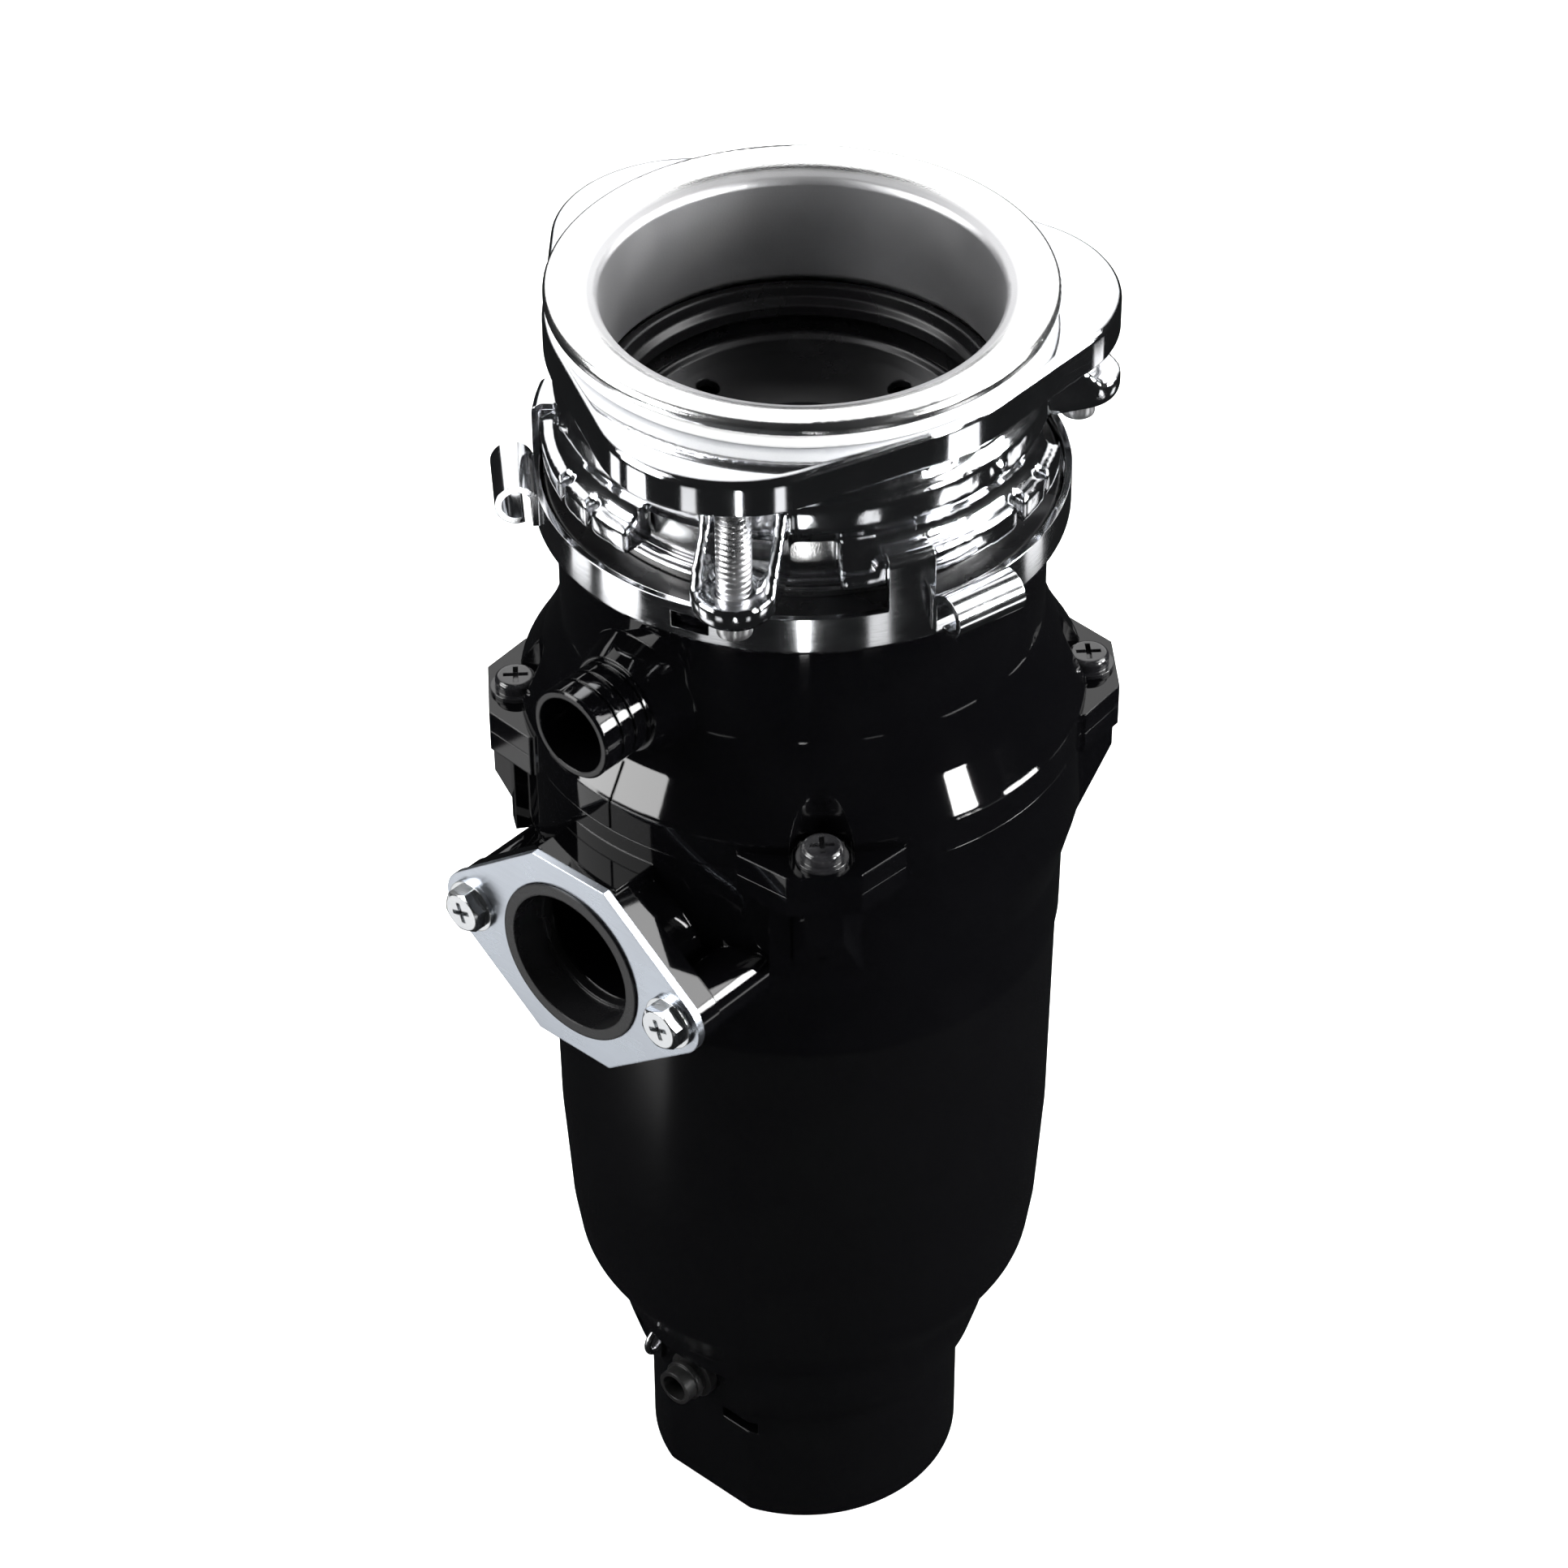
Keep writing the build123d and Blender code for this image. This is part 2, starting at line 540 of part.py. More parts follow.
def make_drain_bolts():
    bolts = []
    y_seat = -DRAIN_FACE - DRAIN_PLATE_T
    for side in (-1, 1):
        washer = rod(6.6, 0, 1.2)
        head = extrude(RegularPolygon(5.6, 6), 4.4)
        head = head & turned([(0, 0), (5.8, 0), (5.8, 3.8), (4.6, 4.4), (0, 4.4)])
        shank = rod(DRAIN_BOLT_R, -15.0, 1.0)
        bolt = washer + head + shank - cross_recess(2.6, 1.8, 4.4)
        turn = Pos(side * DRAIN_BOLT_X, y_seat, DRAIN_Z) * Rot(90, 0, 0)
        bolts.append(turn * Rot(0, 0, 20) * bolt)
    return bolts


# Grinding parts

def make_grind_ring():
    ring = tube(CHAMBER_R - 0.1, GRIND_R_IN, GRIND_Z, GRIND_Z + GRIND_H)
    for k in range(24):
        tooth = block(GRIND_R_IN - 1, GRIND_R_IN + 1.4, -1.4, 1.4, GRIND_Z + 5, GRIND_Z + 14)
        ring -= at_angle(15 * k, tooth)
    for k in range(12):
        low = block(GRIND_R_IN - 1, CHAMBER_R + 1, -1.2, 1.2, GRIND_Z - 1, GRIND_Z + 3)
        ring -= at_angle(30 * k + 7.5, low)
    return ring


def make_turntable():
    z1 = TABLE_Z + TABLE_T
    disc = turned([
        (SHAFT_R, TABLE_Z - 6), (12.0, TABLE_Z - 6), (12.0, TABLE_Z), (TABLE_R, TABLE_Z),
        (TABLE_R, z1 - 0.4), (TABLE_R - 0.4, z1), (SHAFT_R, z1)])
    for k in range(10):
        x, y = polar(TABLE_R - 8.6, 18 + 36 * k)
        disc -= rod(2.6, TABLE_Z - 9, z1 + 1, x, y)
    for k in range(2):
        x, y = polar(PIVOT_AT_R, 180 * k)
        disc -= rod(PIVOT_R - 1.0, TABLE_Z - 9, z1 + 1, x, y)
    return disc


def make_impeller(index):
    """Swinging grinding lug on its pivot, pointing outward."""
    z0 = TABLE_Z + TABLE_T + 0.3
    base = rod(7.0, z0, z0 + 3.2, PIVOT_AT_R, 0)
    base += block(PIVOT_AT_R, PIVOT_AT_R + 15.0, -6.0, 6.0, z0, z0 + 3.2)
    base += block(PIVOT_AT_R - 9.0, PIVOT_AT_R, -4.5, 4.5, z0, z0 + 3.2)
    base += block(PIVOT_AT_R + 9.0, PIVOT_AT_R + 15.0, -6.0, 6.0, z0, z0 + 11.0)
    base = fillet(base.edges().filter_by(Axis.Z).group_by(Axis.X)[-1], 2.0)
    base -= rod(PIVOT_R + AXIS_R_GAP, z0 - 1, z0 + 20, PIVOT_AT_R, 0)
    return at_angle(180 * index, base)


def make_impeller_rivets():
    rivets = []
    z1 = TABLE_Z + TABLE_T
    for k in range(2):
        pin = rod(PIVOT_R - 1.0, TABLE_Z - 1.6, z1, PIVOT_AT_R, 0)
        pin += rod(PIVOT_R, z1, z1 + 3.8, PIVOT_AT_R, 0)
        pin += rod(PIVOT_R + 2.0, z1 + 3.8, z1 + 5.4, PIVOT_AT_R, 0)
        pin += rod(PIVOT_R + 0.5, TABLE_Z - 1.6, TABLE_Z, PIVOT_AT_R, 0)
        rivets.append(at_angle(180 * k, pin))
    return rivets


def make_hub_nut():
    z0 = TABLE_Z + TABLE_T
    nut = rod(9.0, z0, z0 + 1.5) + Pos(0, 0, z0) * extrude(RegularPolygon(8.0, 6), 7.0)
    return nut - rod(SHAFT_R, z0 - 1, z0 + 10)


# Motor

def make_shaft():
    top = TABLE_Z + TABLE_T + 8.5
    return turned([(0, 62.0), (SHAFT_R, 62.0, 0.8), (SHAFT_R, top, 1.0), (0, top)])


def make_shaft_seal():
    bore = SHAFT_R + AXIS_R_GAP
    z = BUSH_Z + 13.0
    return turned([(bore, z), (BUSH_R, z), (BUSH_R, z + 7.0), (bore + 2, z + 7.0),
                   (bore, z + 5.0)])


def make_slinger():
    z = BUSH_Z + 23.5
    return turned([(SHAFT_R, z), (14.5, z), (16.0, z - 1.5, 0.4), (16.0, z + 1.5, 0.6),
                   (9.0, z + 4.0, 1.0), (SHAFT_R, z + 4.0)])


def make_upper_bushing():
    return tube(BUSH_R, SHAFT_R + AXIS_R_GAP, BUSH_Z, BUSH_Z + 12.0)


def make_lower_bushing():
    return turned([(SHAFT_R + AXIS_R_GAP, 62.0), (10.0, 62.0), (10.0, CAN_BOT_Z),
                   (13.0, CAN_BOT_Z), (13.0, CAN_BOT_Z + 3.0), (10.0, CAN_BOT_Z + 3.0),
                   (10.0, 75.0), (SHAFT_R + AXIS_R_GAP, 75.0)])


def make_end_plate():
    r_in, web_z = BUSH_R + 4.6, CAN_TOP_Z + 5.4
    plate = turned([(r_in, CAN_TOP_Z), (PLATE_R, CAN_TOP_Z), (PLATE_R, FLOOR_Z, 1.5),
                    (46.0, FLOOR_Z), (46.0, web_z), (30.0, web_z), (30.0, FLOOR_Z),
                    (r_in, FLOOR_Z)])
    rib = block(28.0, 47.0, -3.0, 3.0, web_z - 2.0, FLOOR_Z)
    for k in range(8):
        plate += at_angle(22.5 + 45 * k, rib)
    for k in range(4):
        x, y = polar(END_SCREW_AT_R, 90 * k)
        plate -= rod(1.75, CAN_TOP_Z - 2, FLOOR_Z + 2, x, y)
    return plate


def make_end_screws():
    screws = []
    for k in range(4):
        x, y = polar(END_SCREW_AT_R, 90 * k)
        screw = rod(1.7, CAN_TOP_Z, FLOOR_Z + 1.6, x, y)
        screw += rod(3.3, CAN_TOP_Z - 2.4, CAN_TOP_Z, x, y)
        screw -= Pos(x, y, CAN_TOP_Z - 2.4) * Rot(180, 0, 0) * cross_recess(1.9, 1.2, 0)
        screws.append(screw)
    return screws


def make_motor_can():
    r_in = CAN_R - CAN_WALL
    can = turned([(10.0, CAN_BOT_Z - 3.0), (CAN_R, CAN_BOT_Z - 3.0, 4.0), (CAN_R, CAN_TOP_Z),
                  (r_in, CAN_TOP_Z), (r_in, CAN_BOT_Z, 2.0), (10.0, CAN_BOT_Z)])
    for k in range(6):
        x, y = polar(30.0, 60 * k + 30)
        can -= rod(5.0, 60, 72, x, y)
    return can


def make_magnets():
    magnets = []
    r_out = CAN_R - CAN_WALL
    for k in range(4):
        arc = turned([(MAGNET_R_IN, 98.0), (r_out, 98.0), (r_out, 158.0),
                      (MAGNET_R_IN, 158.0)], 72.0)
        magnets.append(at_angle(90 * k + 9, arc))
    return magnets


def make_armature_core():
    core = tube(CORE_R, SHAFT_R, CORE_Z, CORE_Z + CORE_H)
    slot = rod(4.2, CORE_Z - 1, CORE_Z + CORE_H + 1, 28.5, 0)
    slot += block(28.5, CORE_R + 1, -1.2, 1.2, CORE_Z - 1, CORE_Z + CORE_H + 1)
    for k in range(SLOTS):
        core -= at_angle(360 / SLOTS * k, slot)
    return core


def make_windings():
    turns = tube(32.5, 17.0, CORE_Z - 7.0, CORE_Z)
    turns += tube(32.5, 17.0, CORE_Z + CORE_H, CORE_Z + CORE_H + 9.0)
    turns = fillet(turns.edges().group_by(Axis.Z)[-1], 3.0)
    turns = fillet(turns.edges().group_by(Axis.Z)[0], 2.5)
    for k in range(SLOTS):
        bar = rod(4.1, CORE_Z - 0.5, CORE_Z + CORE_H + 0.5, 28.5, 0)
        turns += at_angle(360 / SLOTS * k, bar)
    return turns


def make_commutator():
    comm = tube(COMM_R, SHAFT_R, COMM_Z, COMM_Z + COMM_H)
    comm += tube(COMM_R + 2.0, SHAFT_R, COMM_Z + COMM_H, COMM_Z + COMM_H + 1.6)
    for k in range(SLOTS):
        cut = block(COMM_R - 1.0, COMM_R + 3, -0.4, 0.4, COMM_Z - 1, COMM_Z + COMM_H + 3)
        comm -= at_angle(360 / SLOTS * (k + 0.5), cut)
    return comm


def make_brush_card():
    card = tube(CAN_R - CAN_WALL - 0.1, 18.0, 77.0, 79.5)
    return card - block(-19.5, 19.5, -7, 7, 70, 82)


def make_brushes():
    brushes = []
    for k in range(2):
        bar = block(COMM_R + 0.05, COMM_R + 15, -3.0, 3.0, COMM_Z + 2.5, COMM_Z + 9.0)
        brushes.append(at_angle(180 * k + 90, bar))
    return brushes


def make_brush_holders():
    holders = []
    for k in range(2):
        sleeve = block(COMM_R + 6, 40.0, -4.2, 4.2, 79.5, COMM_Z + 10.2)
        hole = block(COMM_R + 5, 38.5, -3.0, 3.0, COMM_Z + 2.5, COMM_Z + 9.0)
        holders.append(at_angle(180 * k + 90, sleeve - hole))
    return holders


def make_brush_springs():
    springs = []
    for k in range(2):
        path = Helix(2.2, 9.6, 2.3)
        wire = sweep(Plane(path @ 0, z_dir=path % 0) * Circle(0.35), path)
        turn = Pos(COMM_R + 15.45, 0, COMM_Z + 5.75) * Rot(0, 90, 0)
        springs.append(at_angle(180 * k + 90, turn * wire))
    return springs


def make_sound_jacket():
    return tube(BODY_R - 11.1, CAN_R + 0.05, 98.0, CAN_TOP_Z - 4.6)


# Shell and cap

def make_motor_shell():
    body = turned([
        (BODY_R - 4.9, SEAM_Z), (BODY_R - 5.7, 118.0, 60.0), (BODY_R - 7.5, 88.0, 20.0),
        (BODY_R - 9.1, 76.5, 10.0),
        (47.4, 60.0, 3.0), (46.8, 53.0, 8.0), (44.2, 44.0, 8.0), (CAP_R + 1.0, CAP_TOP_Z, 1.0),
        (38.0, CAP_TOP_Z), (38.0, 56.0, 4.0), (43.6, 60.5, 3.0), (BODY_R - 12.1, 79.0, 6.0),
        (BODY_R - 10.7, 90.0, 20.0), (BODY_R - 8.7, 120.0, 40.0), (BODY_R - 8.5, SEAM_Z - 4.6),
        (PLATE_R + 0.2, SEAM_Z - 4.6), (PLATE_R + 0.2, SEAM_Z + 3.4),
        (BODY_R - 8.4, SEAM_Z + 3.4), (BODY_R - 8.4, SEAM_Z)])
    body -= block(-19.5, 19.5, -60, -NOTCH_FLAT, CAP_TOP_Z - 1, 55.0)
    body -= rod_y(GLAND_BORE_R + 1.4, -50, -36, 0, GLAND_Z)
    pad = rod(4.2, PAD_Z, 47.0, 34.0, 0) + block(34.0, 39.5, -4.2, 4.2, PAD_Z, 47.0)
    for angle in CAP_SCREW_ANGLES:
        body += at_angle(angle, pad)
        body -= at_angle(angle, rod(1.55, 30, 46.0, 34.0, 0))
    return body


def cap_outline(r, flat):
    """D-shaped plan: a circle with one flat towards -Y."""
    keep = Pos(0, 50 - flat, 0) * Rectangle(2 * r + 2, 100)
    return Circle(r) & keep


def make_bottom_cap():
    cap = extrude(cap_outline(CAP_R, CAP_FLAT), CAP_TOP_Z)
    cap = fillet(cap.edges().filter_by(Axis.Z), 3.0)
    cap = fillet(cap.edges().group_by(Axis.Z)[0], CAP_EDGE_R)
    inner = extrude(cap_outline(CAP_R - CAP_WALL - 0.4, CAP_FLAT - CAP_WALL), CAP_TOP_Z)
    cap -= Pos(0, 0, 3.0) * inner
    spigot = extrude(cap_outline(37.9, 34.4) - cap_outline(35.6, 32.2), 3.4)
    spigot += extrude(cap_outline(38.6, 35.0) - cap_outline(35.6, 32.2), -2.0)
    cap += Pos(0, 0, CAP_TOP_Z) * spigot
    cap -= block(5.0, 16.0, -45, -28, 29.5, 33.0)
    for angle in CAP_SCREW_ANGLES:
        x, y = polar(34.0, angle)
        cap += rod(4.2, 2.0, PAD_Z, x, y)
        cap -= rod(1.75, -1, 45, x, y)
        cap -= rod(3.4, -1, 4.0, x, y)
    cap -= rod(BUTTON_R + SLIDE_GAP, -1, 6, *BUTTON_XY)
    return cap


def make_cap_screws():
    screws = []
    for angle in CAP_SCREW_ANGLES:
        x, y = polar(34.0, angle)
        screw = rod(1.5, 4.0, CAP_TOP_Z + 8.5, x, y) + rod(3.2, 1.4, 4.0, x, y)
        screw -= Pos(x, y, 1.4) * Rot(180, 0, 0) * cross_recess(1.8, 1.2, 0)
        screws.append(screw)
    return screws


def make_cord_gland():
    r_hole = GLAND_BORE_R + 1.4
    gland = rod_y(r_hole - 0.05, -NOTCH_FLAT - 2, -36.4, 0, GLAND_Z)
    gland += rod_y(6.6, -NOTCH_FLAT - 2.4, -NOTCH_FLAT, 0, GLAND_Z)
    gland += rod_y(GLAND_BORE_R + 1.2, -NOTCH_FLAT - 9.0, -NOTCH_FLAT, 0, GLAND_Z)
    gland += rod_y(GLAND_BORE_R + 1.9, -NOTCH_FLAT - 5.6, -NOTCH_FLAT - 4.2, 0, GLAND_Z)
    return gland - rod_y(GLAND_BORE_R, -60, -30, 0, GLAND_Z)


def make_cord_clip():
    loop = Pos(-13.6, -NOTCH_FLAT - 0.6, 48.0) * Rot(0, 0, 90) * Rot(90, 0, 0) * Torus(3.4, 0.9)
    foot = block(-15.6, -11.6, -NOTCH_FLAT - 1.2, -NOTCH_FLAT, 43.0, 53.0)
    return (loop - block(-20, 0, -NOTCH_FLAT, -30, 40, 60)) + foot


def make_rectifier():
    board = block(-24.0, 4.0, -20.0, 16.0, 12.0, 13.6)
    bridge = block(-20.0, -6.0, -16.0, 0.0, 13.6, 24.0)
    legs = block(-19.0, -17.0, -14.0, -12.0, 3.0, 12.0)
    legs += block(-19.0, -17.0, 9.0, 11.0, 3.0, 12.0) + block(-1.0, 1.0, 9.0, 11.0, 3.0, 12.0)
    choke = rod(5.0, 13.6, 28.0, -12.0, 8.0)
    return board + bridge + legs + choke


def make_protector():
    body = block(6.0, 22.0, -20.0, -4.0, 11.6, 27.0)
    body += block(6.0, 8.4, -20.0, -17.6, 3.0, 11.6) + block(19.6, 22.0, -20.0, -17.6, 3.0, 11.6)
    body += block(6.0, 8.4, -6.4, -4.0, 3.0, 11.6) + block(19.6, 22.0, -6.4, -4.0, 3.0, 11.6)
    body -= rod(2.55, 11.0, 20.0, *BUTTON_XY)
    return body


def make_reset_button():
    button = rod(BUTTON_R, 1.0, 6.4, *BUTTON_XY)
    button += rod(BUTTON_R + 1.0, 3.1, 4.4, *BUTTON_XY)
    return button + rod(2.5, 6.4, 15.0, *BUTTON_XY)


def make_reset_spring():
    path = Helix(1.7, 4.6, 3.2)
    wire = sweep(Plane(path @ 0, z_dir=path % 0) * Circle(0.25), path)
    return Pos(*BUTTON_XY, 6.7) * wire


def save(name, shape):
    """Write one node; a list becomes a group of separate solids."""
    solids = shape if isinstance(shape, list) else shape.solids()
    node = Compound(children=[Solid(s.wrapped) if isinstance(s, Solid) else s.solids()[0]
                              for s in solids])
    export_step(node, "parts/" + name + ".step")


NODES = {
    "sink_flange": make_sink_flange,
    "sink_gasket": make_sink_gasket,
    "backup_flange": make_backup_flange,
    "mounting_ring": make_mounting_ring,
    "snap_ring": make_snap_ring,
    "lock_ring": make_lock_ring,
    "mount_gasket": make_mount_gasket,
    "splash_baffle": make_splash_baffle,
    "upper_housing": make_upper_housing,
    "housing_seal": make_housing_seal,
    "body_screws": make_body_screws,
    "lower_housing": make_lower_housing,
    "drain_gasket": make_drain_gasket,
    "drain_plate": make_drain_plate,
    "drain_bolts": make_drain_bolts,
    "grind_ring": make_grind_ring,
    "turntable": make_turntable,
    "impeller_rivets": make_impeller_rivets,
    "hub_nut": make_hub_nut,
    "shaft": make_shaft,
    "shaft_seal": make_shaft_seal,
    "slinger": make_slinger,
    "upper_bushing": make_upper_bushing,
    "lower_bushing": make_lower_bushing,
    "end_plate": make_end_plate,
    "end_screws": make_end_screws,
    "motor_can": make_motor_can,
    "magnets": make_magnets,
    "armature_core": make_armature_core,
    "windings": make_windings,
    "commutator": make_commutator,
    "brush_card": make_brush_card,
    "brushes": make_brushes,
    "brush_holders": make_brush_holders,
    "brush_springs": make_brush_springs,
    "sound_jacket": make_sound_jacket,
    "motor_shell": make_motor_shell,
    "bottom_cap": make_bottom_cap,
    "cap_screws": make_cap_screws,
    "cord_gland": make_cord_gland,
    "cord_clip": make_cord_clip,
    "rectifier": make_rectifier,
    "protector": make_protector,
    "reset_button": make_reset_button,
    "reset_spring": make_reset_spring,
}


def main():
    """Build every node and write it to parts."""
    os.makedirs("parts", exist_ok=True)
    for name, make in NODES.items():
        save(name, make())
    for index in range(3):
        save("clamp_screw_" + str(index + 1), make_clamp_screw(index))
    for index in range(2):
        save("impeller_" + str(index + 1), make_impeller(index))


if __name__ == "__main__":
    main()
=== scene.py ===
"""Finishes, fine detail, studio and camera for a kitchen waste disposer.

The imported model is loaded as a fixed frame. Every visible part of it is
given a procedural finish, and the pieces whose surface is finer than the
frame's, such as threads and castings, are modelled here and ride on it.
"""

from __future__ import annotations

import sys

import json
import logging
import math
from dataclasses import dataclass
from enum import Enum

import bpy
from mathutils import Euler, Matrix, Vector

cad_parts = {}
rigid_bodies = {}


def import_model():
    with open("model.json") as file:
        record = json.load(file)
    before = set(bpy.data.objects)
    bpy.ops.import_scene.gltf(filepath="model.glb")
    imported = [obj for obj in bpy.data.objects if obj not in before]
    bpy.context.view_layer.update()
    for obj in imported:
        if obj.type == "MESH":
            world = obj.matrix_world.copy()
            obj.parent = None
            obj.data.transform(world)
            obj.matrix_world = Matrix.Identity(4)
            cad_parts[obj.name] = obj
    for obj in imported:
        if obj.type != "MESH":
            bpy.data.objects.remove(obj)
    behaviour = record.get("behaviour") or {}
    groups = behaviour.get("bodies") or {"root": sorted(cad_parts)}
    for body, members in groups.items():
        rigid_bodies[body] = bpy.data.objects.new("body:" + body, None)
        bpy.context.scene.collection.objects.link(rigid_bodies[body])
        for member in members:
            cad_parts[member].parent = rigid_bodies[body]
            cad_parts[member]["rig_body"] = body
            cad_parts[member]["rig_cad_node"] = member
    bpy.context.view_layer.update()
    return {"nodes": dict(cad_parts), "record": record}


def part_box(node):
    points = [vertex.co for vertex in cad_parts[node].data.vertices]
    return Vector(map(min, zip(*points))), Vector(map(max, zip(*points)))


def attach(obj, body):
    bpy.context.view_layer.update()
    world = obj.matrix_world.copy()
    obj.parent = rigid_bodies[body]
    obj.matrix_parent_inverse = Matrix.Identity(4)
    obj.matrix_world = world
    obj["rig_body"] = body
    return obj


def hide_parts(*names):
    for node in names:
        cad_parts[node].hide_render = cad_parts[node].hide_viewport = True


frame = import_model()
LOG = logging.getLogger("disposer")
MM = 0.001
WELD = 0.01 * MM

Colour = tuple[float, float, float]


class Lay(Enum):
    """The way a finish's fine lines run over a surface."""

    NONE = "none"
    AROUND = "around the upright axis"
    ALONG_X = "along X"
    ALONG_Z = "along Z"


class Graph:
    """A material and short calls for the nodes that its finish is made of."""

    def __init__(self, name: str) -> None:
        """Starts a material with a Principled shader.

        Args:
            name: The material's name.
        """
        self.material = bpy.data.materials.new(name)
        self.material.use_nodes = True
        self.tree = self.material.node_tree
        self.tree.nodes.clear()
        output = self.add("ShaderNodeOutputMaterial")
        self.shader = self.add("ShaderNodeBsdfPrincipled")
        self.tree.links.new(self.shader.outputs["BSDF"], output.inputs["Surface"])
        self.place = self.add("ShaderNodeTexCoord").outputs["Object"]

    def add(self, kind: str, **settings: object) -> bpy.types.Node:
        """Adds a node.

        Args:
            kind: The node's type name.
            settings: Node properties to set on it.

        Returns:
            The new node.
        """
        node = self.tree.nodes.new(kind)
        for key, value in settings.items():
            setattr(node, key, value)
        return node

    def feed(self, source: bpy.types.NodeSocket, node: bpy.types.Node, socket: str | int) -> None:
        """Links an output to a node's input, by the input's name or number."""
        self.tree.links.new(source, node.inputs[socket])

    def math(self, operation: str, first: object, second: object = 0.0) -> bpy.types.NodeSocket:
        """Joins two numbers or outputs with a Math node.

        Args:
            operation: The Math node's operation.
            first: An output or a number.
            second: An output or a number.

        Returns:
            The result's output.
        """
        node = self.add("ShaderNodeMath", operation=operation)
        for index, value in enumerate((first, second)):
            if isinstance(value, bpy.types.NodeSocket):
                self.feed(value, node, index)
            else:
                node.inputs[index].default_value = value
        return node.outputs[0]

    def stretched(self, scale: Colour) -> bpy.types.NodeSocket:
        """The object's coordinates multiplied by a scale for each axis."""
        node = self.add("ShaderNodeMapping")
        node.inputs["Scale"].default_value = scale
        self.feed(self.place, node, "Vector")
        return node.outputs["Vector"]

    def around(self, across: float, along: float) -> bpy.types.NodeSocket:
        """Coordinates whose pattern runs in rings about the upright axis.

        Args:
            across: Scale of the pattern outwards and upwards, per metre.
            along: Scale of the pattern round the axis.

        Returns:
            The coordinates' output.
        """
        split = self.add("ShaderNodeSeparateXYZ")
        self.feed(self.place, split, 0)
        x, y, z = split.outputs
        radius = self.math("SQRT", self.math("ADD", self.math("MULTIPLY", x, x), self.math("MULTIPLY", y, y)))
        safe = self.math("MAXIMUM", radius, 1e-5)
        join = self.add("ShaderNodeCombineXYZ")
        self.feed(self.math("MULTIPLY", self.math("DIVIDE", x, safe), along), join, 0)
        self.feed(self.math("MULTIPLY", self.math("DIVIDE", y, safe), along), join, 1)
        self.feed(self.math("MULTIPLY", self.math("ADD", radius, z), across), join, 2)
        return join.outputs[0]

    def noise(
        self, scale: float, detail: float = 3.0, vector: bpy.types.NodeSocket | None = None
    ) -> bpy.types.NodeSocket:
        """A noise pattern.

        Args:
            scale: Scale of the pattern, per metre on plain coordinates.
            detail: How many finer layers it has.
            vector: Coordinates to use in place of the object's own.

        Returns:
            The pattern's number, from 0 to 1.
        """
        node = self.add("ShaderNodeTexNoise")
        node.inputs["Scale"].default_value = scale
        node.inputs["Detail"].default_value = detail
        self.feed(vector if vector is not None else self.place, node, "Vector")
        return node.outputs["Fac"]

    def spread(
        self, source: bpy.types.NodeSocket, low: float, high: float, start: float = 0.3, stop: float = 0.7
    ) -> bpy.types.NodeSocket:
        """Spreads a pattern between two numbers.

        Args:
            source: The pattern.
            low: Result where the pattern is at or under start.
            high: Result where the pattern is at or over stop.
            start: Lower end of the part of the pattern that is used.
            stop: Upper end of the part of the pattern that is used.

        Returns:
            The result's output.
        """
        node = self.add("ShaderNodeMapRange")
        node.inputs["From Min"].default_value = start
        node.inputs["From Max"].default_value = stop
        node.inputs["To Min"].default_value = low
        node.inputs["To Max"].default_value = high
        self.feed(source, node, "Value")
        return node.outputs["Result"]

    def tint(self, amount: bpy.types.NodeSocket, first: Colour, second: Colour) -> bpy.types.NodeSocket:
        """Blends two colours by a pattern from 0 to 1."""
        node = self.add("ShaderNodeMix", data_type="RGBA")
        self.feed(amount, node, "Factor")
        node.inputs[6].default_value = (*first, 1.0)
        node.inputs[7].default_value = (*second, 1.0)
        return node.outputs[2]

    def bump(
        self,
        height: bpy.types.NodeSocket,
        depth: float,
        strength: float = 1.0,
        normal: bpy.types.NodeSocket | None = None,
    ) -> bpy.types.NodeSocket:
        """Turns a pattern into relief.

        Args:
            height: The pattern.
            depth: Relief in metres between 0 and 1 of the pattern.
            strength: Share of the relief that shows.
            normal: Normal that the relief is laid over.

        Returns:
            The normal's output.
        """
        node = self.add("ShaderNodeBump")
        node.inputs["Distance"].default_value = depth
        node.inputs["Strength"].default_value = strength
        self.feed(height, node, "Height")
        if normal is not None:
            self.feed(normal, node, "Normal")
        return node.outputs["Normal"]

    def rounded(self, radius: float) -> bpy.types.NodeSocket:
        """A normal that rounds each edge by a radius in metres."""
        node = self.add("ShaderNodeBevel", samples=4)
        node.inputs["Radius"].default_value = radius
        return node.outputs["Normal"]

    def finish(self, **values: object) -> bpy.types.Material:
        """Sets or links the shader's sockets.

        Args:
            values: Socket names with underscores for spaces, each with an
                output to link or a plain value to set.

        Returns:
            The finished material.
        """
        for key, value in values.items():
            socket = key.replace("_", " ")
            if isinstance(value, bpy.types.NodeSocket):
                self.feed(value, self.shader, socket)
            else:
                self.shader.inputs[socket].default_value = value
        return self.material


